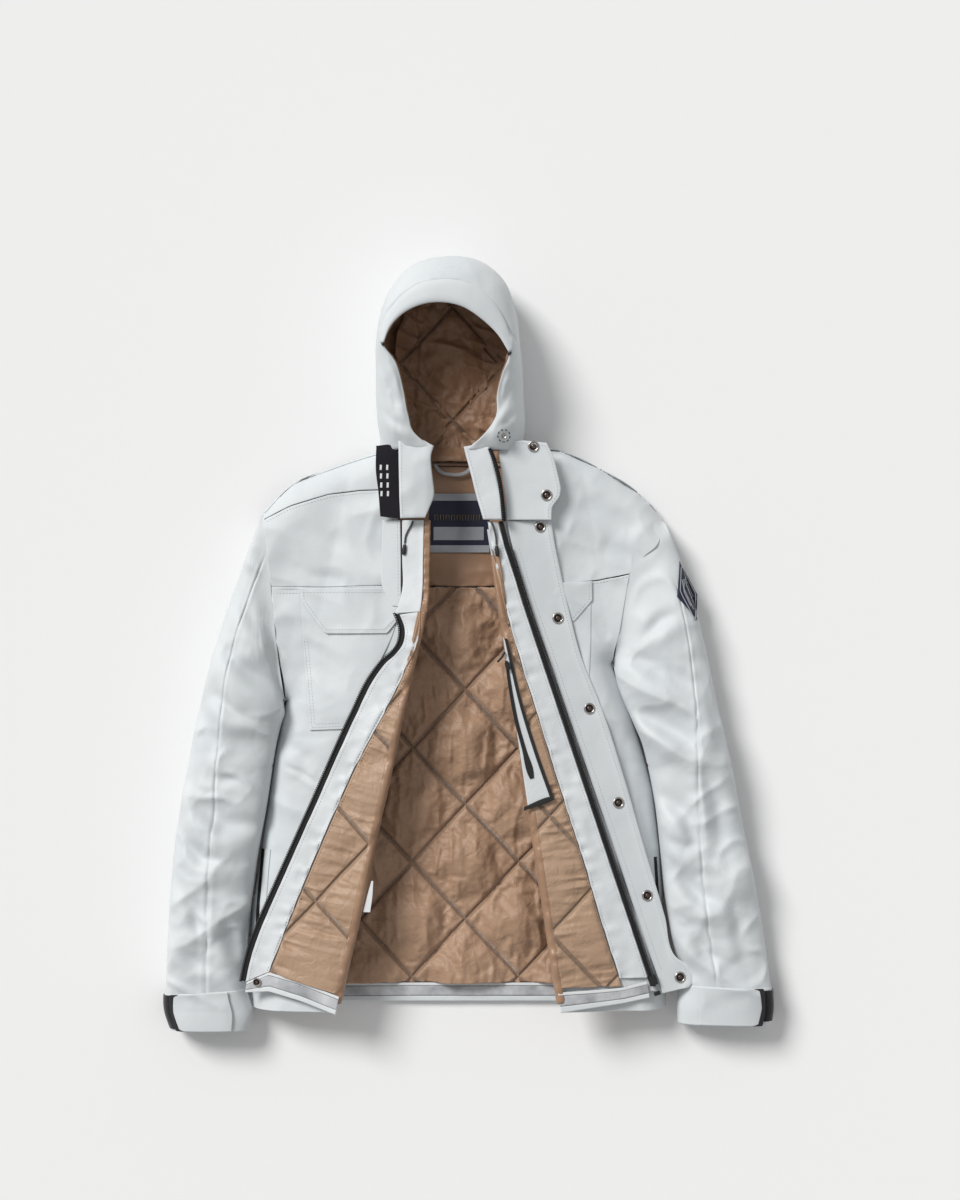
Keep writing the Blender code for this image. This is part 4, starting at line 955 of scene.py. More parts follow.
def roll(name, side, v0, v1, top_fn, mat, under=34.0, inner=0.0):
    """The fold of a front: it comes off the folded part, turns down round the
    fold line and runs back below the shell."""
    rows = int((v1 - v0) * UNIT / (STEP * 1.1)) + 2
    V0 = np.linspace(v0, v1, rows)
    r = 6.4
    prof = [(9.0, None), (7.8, None), (6.8, None)]
    angs = np.linspace(90, 270, 13)
    outs, kinds = [], []
    for o, _ in prof:
        outs.append(o)
        kinds.append(("top", 0.0))
    for a in angs:
        outs.append(r - r * math.cos(math.radians(a - 180)) * 1.0)
        kinds.append(("arc", a))
    for o in np.linspace(8.5, under, 6):
        outs.append(o)
        kinds.append(("low", 0.0))
    P = np.zeros((rows, len(outs), 3))
    # the arc goes from the top face of the folded part to below the shell
    wob = 1.4 * fbm(Y(V0) * 11, Y(V0) * 3, 2, 41 if side == "right" else 43)
    for j, (o, (kind, a)) in enumerate(zip(outs, kinds)):
        oo = o + wob + inner
        U = fold_u(side, V0, 0)
        U = U - oo if side == "right" else U + oo
        base = plane(side, U, V0)
        topz = top_fn(side, U, V0)
        lowz = base - 0.0044 + inner * 0.0012
        if kind == "top":
            Z = topz
        elif kind == "arc":
            mid, half = (topz + lowz) / 2, (topz - lowz) / 2
            Z = mid + half * math.sin(math.radians(a))
        else:
            Z = lowz + 0.0005 * fbm(X(U) * 30, Y(V0) * 30, 2, 6)
        P[:, j] = np.stack([X(U), Y(V0), Z], -1)
    s = np.concatenate([[0], np.cumsum(np.linalg.norm(np.diff(P, axis=1), axis=2).mean(0))])
    t = np.concatenate([[0], np.cumsum(np.abs(np.diff(Y(V0))))])
    ob = slab(name, P, s, t, 0.0012, mat, flip=(side == "left"), uvs=np.stack(np.broadcast_arrays(s[None, :], -t[:, None]), -1))
    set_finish(ob, "shell" if inner else "lining")
    vm = (v0 + v1) / 2
    um = float(fold_u(side, vm, 0))
    base = np.array([float(X(um)), float(Y(vm)), CREASE_Z])
    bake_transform(ob)
    return ob



def at_v(points, v):
    for (u0, v0), (u1, v1) in zip(points, points[1:]):
        if v <= v1 or (u1, v1) == points[-1]:
            return u0 + (u1 - u0) * (v - v0) / (v1 - v0)


# right: from zip to fold
sheets = []
strip("right_zip_cloth", ZIP_RIGHT, moved(ZIP_RIGHT, 5.2, 1.3), lapel_z("right", 0.0102), 0.0010, TAPE, "right_front", n=30, slot="zip_black", nodes=("right_zip_tape",))


def facing_z(side, pts_a, pts_b, seed):
    def z(U, V):
        pk = seam_pucker(U, V, pts_a, 9, 0.0016, 9, seed) + seam_pucker(U, V, pts_b, 10, 0.0022, 7, seed + 1)
        return lapel_z(side, 0.0119)(U, V) + pk + 0.0020 * fbm(X(U) * 34, Y(V) * 26, 3, seed + 2) + 0.0010 * (ridged(X(U) * 34, Y(V) * 30, seed + 4) - 0.3) - 0.0003
    return z


strip("right_facing_cloth", moved(ZIP_RIGHT, 5.4, 1.6), moved(FACE_RIGHT, 0, 2), facing_z("right", ZIP_RIGHT, FACE_RIGHT, 51), 0.0020, FACING, "right_front", n=30, nodes=("right_facing",))
R_IN = [(float(fold_u("right", v, 7.6)), v) for v in np.linspace(611, 990, 24)]
strip("right_lapel_quilt", moved(FACE_RIGHT, 0.7, 2.4), R_IN, lambda U, V: lapel_lining("right", U, V), 0.0016, SATIN_R_LIT, "right_front", n=40, step=STEP * 0.60, slot="lining", nodes=("right_front_lining",))
# the outer cloth, on the underside while the front is turned back
strip("right_lapel_backing", moved(ZIP_RIGHT, 0.8, 0.3), [(float(fold_u("right", v, 2.6)), v) for v in np.linspace(606, 992, 24)], lambda U, V: lapel_z("right", 0.0066)(U, V) + 0.0006 * fbm(X(U) * 20, Y(V) * 20, 2, 61), 0.0012, SHELL, "right_front", n=30)
roll("right_fold_shell", "right", 611, 1000, lambda side, U, V: lapel_z("right", 0.0086)(U, V), SHELL, 20.0, 1.6)
roll("right_fold_roll", "right", 611, 1000, lambda side, U, V: lapel_lining(side, U, V) * 1.0, SATIN)
stitches("right_front", moved(FACE_RIGHT, -2.0, 1.4), facing_z("right", ZIP_RIGHT, FACE_RIGHT, 51))
stitches("right_front", moved(ZIP_RIGHT, 8.2, 2.4), facing_z("right", ZIP_RIGHT, FACE_RIGHT, 51))
stitches("right_front", moved(FACE_RIGHT, 2.6, 3.2)[:-1], lambda U, V: lapel_lining("right", U, V), shade="brown")

panel("right_hem_binding", [
    [(247.5, 980.5), (270, 970.2), (302, 978.4), (float(fold_u("right", 992.4, 4)), 992.4)],
    [(247.2, 983.2), (270, 973.0), (302, 981.4), (float(fold_u("right", 995, 4)), 995.2)],
], lapel_z("right", 0.0128), 0.0012, BINDING, "right_front")
panel("right_hem_reflector", [
    [(247.2, 983.5), (270, 973.4), (302, 981.8), (float(fold_u("right", 995.5, 4)), 995.6)],
    [(246.2, 988), (270, 983.6), (302, 992.4), (float(fold_u("right", 1005, 4)), 1005.4)],
], lambda U, V: lapel_z("right", 0.0122)(U, V) + 0.0006 * fbm(X(U) * 50, Y(V) * 50, 2, 8), 0.0018, REFLECTOR_PAINTED_GLINTS, "right_front", slot="reflective", nodes=("right_hem_tape",))
panel("right_hem_edge", [
    [(246.2, 988.4), (270, 984.0), (302, 992.8), (float(fold_u("right", 1005, 4)), 1005.8)],
    [(246, 991), (270, 989.4), (302, 998.0), (float(fold_u("right", 1010, 4)), 1010.6)],
], lambda U, V: lapel_z("right", 0.0114)(U, V) + 0.0006 * fbm(X(U) * 40, Y(V) * 40, 2, 8), 0.0024, FACING, "right_front")
# care label caught in the seam beside the fold
panel("care_label_cloth", [
    [(372.5, 878), (374.4, 878)],
    [(368, 894), (373.5, 894)],
    [(364, 909), (371.4, 909)],
], lambda U, V: plane("right", U, V) + 0.0088, 0.0005, BINDING, "right_front", slot="shell", step=0.002)

# left: from fold to zip
def row_strip(name, a, b, vs, z, thick, mat, body, **kw):
    return panel(name, [[(float(a(v)), float(v)), (float(b(v)), float(v))] for v in vs], z, thick, mat, body, **kw)


VS = np.concatenate([np.linspace(522, 640, 10), np.linspace(655, 976, 18)])
row_strip("left_zip_cloth", lambda v: at_v(ZIP_LEFT, v) - 4.6, lambda v: at_v(ZIP_LEFT, v), np.append(VS, 985), lapel_z("left", 0.0102), 0.0010, TAPE, "left_front", slot="zip_black", nodes=("left_zip_tape",))
row_strip("left_facing_cloth", lambda v: at_v(FACE_LEFT, v), lambda v: at_v(ZIP_LEFT, v) - 5.4, VS, facing_z("left", ZIP_LEFT, FACE_LEFT, 55), 0.0020, FACING, "left_front", nodes=("left_facing",))
L_VS = np.concatenate([np.linspace(549, 640, 8), np.linspace(655, 984, 20)])
row_strip("left_lapel_quilt", lambda v: fold_u("left", v, 7.6 if v > 575 else 2.0 + (v - 549) / 26 * 5.6), lambda v: at_v(FACE_LEFT, v) - 0.7 + 0.0 * v, L_VS, lambda U, V: lapel_lining("left", U, V), 0.0016, SATIN_L_LIT, "left_front", step=STEP * 0.60, slot="lining", nodes=("left_front_lining",))
row_strip("left_lapel_backing", lambda v: fold_u("left", v, 2.6 if v > 575 else 0.8 + max(v - 549, 0) / 26 * 1.8), lambda v: at_v(ZIP_LEFT, v) - 0.8, np.concatenate([np.linspace(530, 640, 10), np.linspace(655, 990, 20)]),
          lambda U, V: lapel_z("left", 0.0066)(U, V) + 0.0006 * fbm(X(U) * 20, Y(V) * 20, 2, 62), 0.0012, SHELL, "left_front")
roll("left_fold_shell", "left", 556, 1000, lambda side, U, V: lapel_z("left", 0.0086)(U, V), SHELL, 20.0, 1.6)
roll("left_fold_roll", "left", 556, 1000, lambda side, U, V: lapel_lining(side, U, V) * 1.0, SATIN)
fz = facing_z("left", ZIP_LEFT, FACE_LEFT, 55)
stitches("left_front", moved(FACE_LEFT, 2.4)[1:], fz)
stitches("left_front", [(u - 8.2, v) for u, v in ZIP_LEFT], fz)
stitches("left_front", moved(FACE_LEFT, -2.8)[3:-1], lambda U, V: lapel_lining("left", U, V), shade="brown")
panel("left_hem_binding", [
    [(float(fold_u("left", 987, 4)), 988.2), (600, 986.6), (622, 985.2), (646, 979.6)],
    [(float(fold_u("left", 990, 4)), 991.2), (600, 989.6), (622, 988.0), (647, 982.4)],
], lapel_z("left", 0.0128), 0.0012, BINDING, "left_front")
panel("left_hem_reflector", [
    [(float(fold_u("left", 990, 4)), 991.6), (600, 990.0), (622, 988.4), (647, 982.8)],
    [(float(fold_u("left", 1000, 4)), 1001.8), (600, 998.2), (622, 996.0), (648.6, 991.0)],
], lambda U, V: lapel_z("left", 0.0122)(U, V) + 0.0006 * fbm(X(U) * 50, Y(V) * 50, 2, 8), 0.0018, REFLECTOR_PAINTED_GLINTS, "left_front", slot="reflective", nodes=("left_hem_tape",))
panel("left_hem_edge", [
    [(float(fold_u("left", 1001, 4)), 1002.2), (600, 998.6), (622, 996.4), (648.7, 991.4)],
    [(float(fold_u("left", 1006, 4)), 1008.6), (600, 1003.6), (622, 1001.0), (649.2, 996)],
], lambda U, V: lapel_z("left", 0.0114)(U, V) + 0.0006 * fbm(X(U) * 40, Y(V) * 40, 2, 8), 0.0024, FACING, "left_front")

# inner pocket
PANEL_OUT = [(504.6, 640), (519.4, 704), (534.9, 754), (549.5, 795)]
PZ = lapel_z("left", 0.0152)
strip("inner_pocket_cloth", [(float(fold_u("left", v, 1.0)), v) for v in (636, 700, 750, 806)], PANEL_OUT, PZ, 0.0010, FACING, "left_front", n=16, nodes=("inner_pocket_panel",))
strip("inner_pocket_trim", [(504.2, 638), (519.2, 704), (534.6, 753.5), (549.6, 796)], [(507.0, 638), (522.2, 703), (537.6, 752.5), (553.2, 796)],
      lapel_z("left", 0.0158), 0.0012, RUBBER, "left_front", n=16, slot="zip_black", nodes=("inner_pocket_edging",))
strip("inner_pocket_foot", [(523.4, 804.2), (549.4, 794.4), (552.6, 794.0)], [(523.0, 808.2), (550.2, 799.0), (553.4, 797.6)],
      lapel_z("left", 0.0159), 0.0012, RUBBER, "left_front", n=8, slot="zip_black")
strip("inner_pocket_zip_cloth", [(504.6, 660), (509.8, 697), (514.0, 719), (521.6, 748), (527.6, 773), (529.6, 777)], [(507.4, 660), (513.4, 697), (517.8, 719), (526.0, 748), (533.2, 771), (533.4, 776)],
      lapel_z("left", 0.0164), 0.0012, PLASTIC, "left_front", n=24, slot="zip_black", nodes=("inner_pocket_zip",))
strip("inner_pocket_pull", [(496.4, 660.4), (500.2, 656), (503.4, 650.6)], [(497.6, 662.0), (501.8, 657.8), (505.6, 652.0)],
      lambda U, V: plane("left", U, V) + 0.0172, 0.0016, PLASTIC, "inner_pocket_slider", n=8, step=0.0015, slot="zip_black")

# ------------------------------------------------------------- storm flap
FLAP_ROWS = [
    [(506.4, 521.5), (551, 521.5)],
    [(512.5, 548), (555.6, 548)],
    [(520, 574), (561, 574)],
    [(530.6, 608), (568.2, 607)],
    [(547.6, 656), (581, 656)],
    [(563, 701), (599, 701)],
    [(588.6, 774), (623, 774)],
    [(614.0, 848), (644.6, 848)],
    [(636.6, 916), (665, 916)],
    [(650.4, 957), (676.5, 957)],
    [(655.0, 969), (689, 966.6)],
    [(659.0, 981), (692.9, 979.6)],
    [(661.4, 989.6), (691.8, 984.6)],
    [(662.6, 993.0), (688.6, 987.4)],
]
FLAP_OUT = [r[1] for r in FLAP_ROWS]


def flap_z(U, V):
    d = line_distance(U, V, FLAP_OUT)[0]
    dent = 0
    for u, v in SNAPS[2:]:
        dent = dent + 0.0012 * bump(np.hypot(U - u, V - v) / 8.0)
    return lapel_z("left", 0.0056)(U, V) + 0.0010 * fbm(X(U) * 26, Y(V) * 18, 3, 61) + 0.0010 * bump((d - 3.0) / 3.0) - dent * 0.7


SNAPS = [(533, 447.5), (546, 496), (540, 527), (557.5, 618), (589, 708), (618, 802), (647, 895), (680, 977)]
panel("storm_flap_cloth", FLAP_ROWS, flap_z, 0.0020, SHELL, "storm_flap", nodes=("storm_flap",))
stitches("storm_flap", [(u - 4.6, v) for u, v in FLAP_OUT[:-2]], flap_z)
stitches("storm_flap", [(u + 6, v) for u, v in [r[0] for r in FLAP_ROWS[1:-3]]], flap_z)


# --------------------------------------------------------- snaps and teeth
def turned(name, profile, centre, normal, mat, body, slot, sides=28):
    turn = Vector((0, 0, 1)).rotation_difference(Vector(normal).normalized())
    verts, faces, rings = [], [], []
    for r, h in profile:
        if r < 1e-7:
            rings.append([len(verts)])
            verts.append(tuple(Vector(centre) + turn @ Vector((0, 0, h))))
        else:
            rings.append(list(range(len(verts), len(verts) + sides)))
            for k in range(sides):
                a = 2 * math.pi * k / sides
                verts.append(tuple(Vector(centre) + turn @ Vector((r * math.cos(a), r * math.sin(a), h))))
    for a, b in zip(rings, rings[1:]):
        for k in range(sides):
            m = (k + 1) % sides
            if len(a) == 1:
                faces.append((a[0], b[k], b[m]))
            elif len(b) == 1:
                faces.append((a[k], b[0], a[m]))
            else:
                faces.append((a[k], b[k], b[m], a[m]))
    me = bpy.data.meshes.new(name)
    me.from_pydata(verts, [], faces)
    me.shade_smooth()
    me.set_sharp_from_angle(angle=math.radians(45))
    me.materials.append(mat)
    ob = bpy.data.objects.new(name, me)
    bpy.context.scene.collection.objects.link(ob)
    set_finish(ob, slot)
    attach(ob, body)
    return ob


def slope_normal(side):
    e = 1.0
    dx = float(plane(side, 500 + e, 700) - plane(side, 500 - e, 700)) / (2 * e * UNIT)
    dy = float(plane(side, 500, 700 - e) - plane(side, 500, 700 + e)) / (2 * e * UNIT)
    return Vector((-dx, -dy, 1.0)).normalized()


def snap(i, u, v, z, normal, body, scale=1.0, node=None):
    c = Vector((float(X(u)), float(Y(v)), z))
    r = 0.0076 * scale
    ring = turned("snap_ring_%d" % i, [(0.62 * r, -0.0008), (0.98 * r, -0.0008), (r, -0.0002), (0.97 * r, 0.0007), (0.88 * r, 0.0012), (0.76 * r, 0.0011), (0.66 * r, 0.0003), (0.62 * r, -0.0008)],
                  c, normal, METAL, body, "snap_metal")
    if node:
        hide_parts(node)
    turned("snap_dish_%d" % i, [(0, -0.0012), (0.70 * r, -0.0012), (0.70 * r, 0.0), (0.6 * r, -0.0004), (0.50 * r, -0.0006), (0.44 * r, 0.0), (0, 0.0001)], c, normal, METALDARK, body, "snap_metal")
    turned("snap_stud_%d" % i, [(0, -0.0010), (0.36 * r, -0.0010), (0.37 * r, 0.0007), (0.30 * r, 0.0013), (0.18 * r, 0.0014), (0.13 * r, 0.0008), (0, 0.0007)], c, normal, METALCAP, body, "snap_metal")


for i, (u, v) in enumerate(SNAPS):
    if i < 2:
        g = lambda a, b: max(float(front("left", np.array([a]), np.array([b]))[0]), 0.066) + 0.0085
        n = Vector((-(g(u + 6, v) - g(u - 6, v)) / (12 * UNIT), (g(u, v + 6) - g(u, v - 6)) / (12 * UNIT), 1)).normalized()
        snap(i + 1, u, v, g(u, v) + 0.0008, n, "torso", node="flap_snap_%d" % (i + 1))
    else:
        snap(i + 1, u, v, float(flap_z(np.array([float(u)]), np.array([float(v)]))[0]) + 0.0012, slope_normal("left"), "storm_flap", node="flap_snap_%d" % (i + 1))
snap(9, 258, 980, float(plane("right", 258, 980)) + 0.0136, slope_normal("right"), "right_front", scale=0.72, node="hem_snap")


def teeth(name, pts, z, body, pitch=0.0029, size=(0.0020, 0.0011, 0.0016)):
    p = np.asarray(pts, float)
    total = np.linalg.norm(np.diff(p, axis=0), axis=1).sum() * UNIT
    n = int(total / pitch)
    c = curve_through(pts, n)
    T = np.gradient(np.stack([X(c[:, 0]), Y(c[:, 1])], -1), axis=0)
    T /= np.linalg.norm(T, axis=1, keepdims=True)
    S = np.stack([-T[:, 1], T[:, 0]], -1)
    Z = z(c[:, 0], c[:, 1])
    a, b, h = size
    out = []
    for k, (da, db, dh) in enumerate([(-1, -1, -1), (1, -1, -1), (1, 1, -1), (-1, 1, -1), (-0.8, -0.6, 1), (0.8, -0.6, 1), (0.8, 0.6, 1), (-0.8, 0.6, 1)]):
        xy = np.stack([X(c[:, 0]), Y(c[:, 1])], -1) + S * a * da + T * b * db
        out.append(np.concatenate([xy, (Z + h * (dh + 1) / 2)[:, None]], 1))
    V = np.stack(out, 1).reshape(-1, 3)
    box = np.array([[0, 3, 2, 1], [4, 5, 6, 7], [0, 1, 5, 4], [1, 2, 6, 5], [2, 3, 7, 6], [3, 0, 4, 7]])
    F = (box[None] + (np.arange(n) * 8)[:, None, None]).reshape(-1, 4)
    ob = make_mesh(name, V, F, PLASTIC, V[:, :2], smooth=False)
    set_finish(ob, "zip_black")
    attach(ob, body)


teeth("right_zip_teeth", moved(ZIP_RIGHT, 0.2, 0.4), lapel_z("right", 0.0101), "right_front")
teeth("left_zip_teeth", moved(ZIP_LEFT[1:], 0.2), lapel_z("left", 0.0101), "left_front")

# ---------------------------------------------------------- chest pockets
def swell(U):
    return 0.0016 * np.clip((378.0 - U) / 30.0, 0, 1)


def pocket_z(extra, k=1.0):
    def z(U, V):
        edge = np.minimum(line_distance(U, V, [(300.5, 592), (301.5, 620), (304.5, 670), (310, 731)])[0], line_distance(U, V, [(310, 731), (380, 729)])[0])
        return shell_z("right")(U, V) + extra + k * swell(U) + 0.0022 * smoothstep(0, 16, edge) * smoothstep(395, 372, U) + 0.0006 * fbm(X(U) * 30, Y(V) * 24, 2, 66)
    return z


panel("right_chest_pocket_cloth", [
    [(301, 591), (397, 591)],
    [(302, 620), (397, 620)],
    [(305, 670), (381, 661)],
    [(308.6, 715), (352.6, 714)],
    [(310, 730), (344.6, 728.4)],
], pocket_z(0.0010), 0.0012, SHELL, "torso", nodes=("right_chest_pocket",))
stitches("torso", [(304.2, 640), (307.6, 672), (312.4, 727.2), (341, 725.6)], pocket_z(0.0010))
stitches("torso", [(307.6, 640), (310.8, 672), (315.2, 723.6), (341, 722.2)], pocket_z(0.0010))


def pflap_z(U, V):
    edge = line_distance(U, V, [(300, 590), (302, 601), (325, 633), (386, 632), (397, 621)])[0]
    return pocket_z(0.0034, 1.5)(U, V) + 0.0006 * bump((edge - 3) / 3)


panel("right_chest_flap_cloth", [
    [(300, 588.2), (398, 588.2)],
    [(301, 600), (399, 600)],
    [(308.4, 610.4), (398, 611)],
    [(316, 621), (397.4, 621)],
    [(324, 631.4), (389, 631.4)],
    [(327.4, 633.4), (386.6, 633)],
], pflap_z, 0.0016, SHELL, "right_chest_flap", nodes=("right_chest_flap",), smooth=False)
stitches("right_chest_flap", [(303.6, 591), (304.6, 600), (326.6, 629.6), (385, 629.2), (394.6, 619.4)], pflap_z)
stitches("right_chest_flap", [(303, 592.4), (396, 592.4)], pflap_z)
panel("left_chest_pocket_cloth", [
    [(530, 584), (592, 581)],
    [(529, 600), (592.4, 600)],
    [(527, 612), (582, 612)],
    [(525, 622), (574, 621)],
], lambda U, V: shell_z("left", 0.0026)(U, V), 0.0014, SHELL, "torso", smooth=False)
panel("left_chest_bag_cloth", [
    [(528, 612), (591, 602)],
    [(526, 650), (590.4, 650)],
    [(524, 690), (588, 690)],
], lambda U, V: shell_z("left", 0.0010)(U, V), 0.0012, SHELL, "torso", nodes=("left_chest_pocket",))
stitches("torso", [(589.4, 584), (589.4, 598.6), (572, 618.4)], shell_z("left", 0.0026))

# hand-pocket zips, under narrow welts
for side, a, b, cad in (("right", [(259.5, 850), (255.6, 900), (253.2, 957)], [(263.4, 850), (259.4, 900), (257.2, 957)], "right_hand_pocket_zip"),
                         ("left", [(654.6, 858), (657, 900), (659.8, 948)], [(658.2, 858), (660.8, 900), (663.4, 948)], "left_hand_pocket_zip")):
    strip(cad + "_cloth", a, b, lambda U, V, side=side: shell_z(side)(U, V) + 0.0006, 0.0016, TAPE, "torso", n=20, slot="zip_black", nodes=(cad,), step=0.0018)
    strip(cad + "_welt", moved(a, 4.2 if side == "right" else -10.6), moved(b, 6.6 if side == "right" else -4.4), lambda U, V, side=side: shell_z(side, 0.0016)(U, V), 0.0016, SHELL, "torso", n=20)


# ---------------------------------------------------- collar and neck parts
def collar_z(U, V):
    return 0.0896 + 0.0030 * fbm(X(U) * 26, Y(V) * 16, 3, 71) + 0.0026 * (ridged(X(U) * 17 + Y(V) * 8, Y(V) * 14, 71) - 0.3) - 0.0024 * smoothstep(426, 436, U)


panel("right_collar_cloth", [
    [(399.2, 441.6), (410, 437), (424, 442), (434.6, 447.6)],
    [(399.6, 452), (417, 452), (432.2, 457)],
    [(399.6, 466), (417, 467), (432.4, 468)],
    [(399.8, 484), (434.2, 484)],
    [(400.2, 498), (434.8, 497)],
    [(401, 510), (430.6, 509)],
    [(401.4, 519.4), (426.2, 518.8)],
], collar_z, 0.0048, SHELL, "torso", nodes=("right_collar",))
stitches("torso", [(403.4, 516.4), (424.6, 515.8)], collar_z)
stitches("torso", [(402.8, 446), (402.6, 480), (403.4, 516)], collar_z)


def patch_z(U, V):
    return np.maximum(front("right", U, V) + 0.009, 0.0742) + 0.0008 * fbm(X(U) * 24, Y(V) * 30, 2, 72)


panel("collar_patch_cloth", [
    [(377, 447), (388, 445.6), (399.4, 448)],
    [(376.6, 472), (400.0, 472)],
    [(379, 492), (400, 492)],
    [(381, 517), (400, 519.6)],
], patch_z, 0.0020, VELVET, "torso", slot="loop_black", nodes=("collar_patch",))
bars = []
for r, v in enumerate((468.5, 477.0, 486.0, 494.5)):
    for u in (381.6, 388.0):
        bars.append((u + 0.25 * r, v))
for k, (u, v) in enumerate(bars):
    panel("patch_bar_%d" % (k + 1), [[(u - 1.0, v - 2.6), (u + 1.2, v - 2.6)], [(u - 1.2, v + 2.6), (u + 1.0, v + 2.6)]],
          lambda U, V: patch_z(U, V) + 0.0004, 0.0006, BINDING, "torso", step=0.0012, slot="shell")


def placket_z(U, V):
    return np.maximum(front("right", U, V), 0) + 0.0052 + 0.0007 * fbm(X(U) * 30, Y(V) * 14, 2, 73)


panel("right_placket_cloth", [
    [(382.6, 520.4), (400.7, 520.4)],
    [(382, 560), (401.4, 560)],
    [(383, 588), (401.6, 588)],
    [(393, 606), (402.2, 607)],
], placket_z, 0.0020, SHELL, "torso", nodes=("right_placket",))
stitches("torso", [(397.6, 523), (398.4, 560), (398.6, 596)], placket_z)


def neckface_z(U, V):
    rise = smoothstep(560, 606, V)
    return plane("right", U, V) + 0.0062 + 0.0056 * rise + 0.0016 * fbm(X(U) * 34, Y(V) * 26, 3, 74) + 0.0016 * bump((U - 424.5) / 2.6) * smoothstep(521, 530, V) * (1 - rise)


ob = panel("right_neck_facing_cloth", [
    [(402.4, 520.6), (424.2, 520.6)],
    [(402.6, 560), (423.4, 560)],
    [(402.6, 590), (423.0, 590)],
    [(398.6, 606), (421.6, 606)],
    [(395.6, 613.4), (420.6, 611.6)],
], neckface_z, 0.0020, FACING, None, nodes=("right_neck_facing",))
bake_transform(ob)
ob = panel("right_neck_lining", [
    [(424.4, 520.6), (430.6, 520.6)],
    [(423.7, 560), (430.2, 560)],
    [(423.3, 590), (429.4, 590)],
    [(421.2, 612), (427.6, 612)],
], lambda U, V: neckface_z(U, V) - 0.0004 + seam_pucker(U, V, [(423.6, 520), (422, 560), (421, 612)], 8, 0.0030, 5, 75) + 0.0012 * (ridged(V / 6.0, U / 30, 75) - 0.3), 0.0050, SATIN, None, slot="lining", step=STEP * 0.6)
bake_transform(ob)


def lcollar_z(U, V):
    return 0.0880 + 0.0020 * fbm(X(U) * 30, Y(V) * 20, 3, 76) + 0.0018 * (ridged(X(U) * 22, Y(V) * 16, 76) - 0.3)


def at_line(V):
    return np.interp(V, [449, 472, 497, 520], [464, 470, 476, 483])


panel("left_collar_cloth", [
    [(464.2, 448.6), (474, 446.6), (489, 448.6)],
    [(466.4, 458), (491.4, 458)],
    [(470.6, 474), (495.4, 474)],
    [(476.4, 497), (500.4, 497)],
    [(483.2, 520.6), (502.4, 520.6)],
], lcollar_z, 0.0048, FACING, "torso", nodes=("left_collar",))
stitches("torso", [(467.6, 452), (473.4, 474), (479.2, 497), (486, 518.4)], lcollar_z)
COLLAR_ZIP = [(489.4, 451), (493, 460), (496.4, 472), (499, 484), (500.9, 497), (502.2, 510), (503.2, 522)]
strip("left_collar_zip_cloth", moved(COLLAR_ZIP, -1.6), moved(COLLAR_ZIP, 2.6), lambda U, V: 0.0892 - 0.0004 * (V - 450) / 70 + 0 * U, 0.0018, TAPE, "torso", n=20, slot="zip_black", step=0.0015)
teeth("left_collar_teeth", COLLAR_ZIP, lambda U, V: 0.0891 - 0.0004 * (V - 450) / 70 + 0 * U, "torso")


def cflap_z(U, V):
    return np.maximum(front("left", U, V), 0.066) + 0.0087 + 0.0010 * fbm(X(U) * 24, Y(V) * 24, 3, 77) + 0.0006 * bump((line_distance(U, V, CF_OUT)[0] - 3) / 3)


CF_OUT = [(502, 442), (523, 441), (547, 444), (553.6, 458), (560.6, 488.5), (560, 496.5), (551, 508.4), (551.4, 520.8)]
panel("collar_flap_cloth", [
    [(497.4, 446.6), (506, 442.6), (523, 441.4), (546.4, 444)],
    [(499, 458), (553.2, 458)],
    [(502.4, 480), (558.6, 480)],
    [(503.8, 489), (560.4, 489)],
    [(504.8, 497), (559.6, 497)],
    [(506, 508), (551.4, 508)],
    [(506.8, 520.6), (551, 520.6)],
], cflap_z, 0.0026, SHELL, "torso", nodes=("collar_flap",), smooth=False)
stitches("torso", [(504, 445), (523, 444), (544.4, 446.6), (550.4, 459), (557, 489), (556.6, 495.4), (547.8, 507), (547.8, 518.6)], cflap_z)

# neck label: woven navy cloth with two pale bands, a name box and a plain mark
LZ = lambda U, V: 0.0130 + 0.0003 * fbm(X(U) * 20, Y(V) * 20, 2, 78)
panel("neck_label_cloth", [[(428.6, 493), (489.6, 493)], [(428.6, 551), (489.6, 551)]], LZ, 0.0009, NAVY, "torso", slot="label_navy", nodes=("neck_label",))
for k, (v0, v1, m) in enumerate(((492.2, 499.6, LABELGREY), (544.6, 552.0, LABELGREY))):
    panel("neck_label_band_%d" % (k + 1), [[(428.4, v0), (489.8, v0)], [(428.4, v1), (489.8, v1)]], lambda U, V: LZ(U, V) + 0.0006, 0.0008, m, "torso", slot="label_navy")
panel("neck_label_box", [[(433, 526), (484, 526)], [(433, 539.5), (484, 539.5)]], lambda U, V: LZ(U, V) + 0.0004, 0.0006, LABELGREY, "torso", slot="label_navy")
GOLD = cloth_material("label_gold_thread", (0.22, 0.15, 0.06), (0.34, 0.25, 0.11), rough=(0.4, 0.6), sheen=0.2, thread=0.0004, weave=0.8, fine=0.2, twill=True)
marks = []
for k in range(9):
    u = 434.5 + k * 5.6
    zz = 0.0137
    marks.append(np.array([[float(X(u)), float(Y(519.6)), zz], [float(X(u)), float(Y(514.0)), zz], [float(X(u + 3.0)), float(Y(514.0)), zz], [float(X(u + 3.0)), float(Y(519.6)), zz]]))
tubes("neck_label_mark", marks, 0.00045, GOLD, "torso", "label_navy", sides=6)

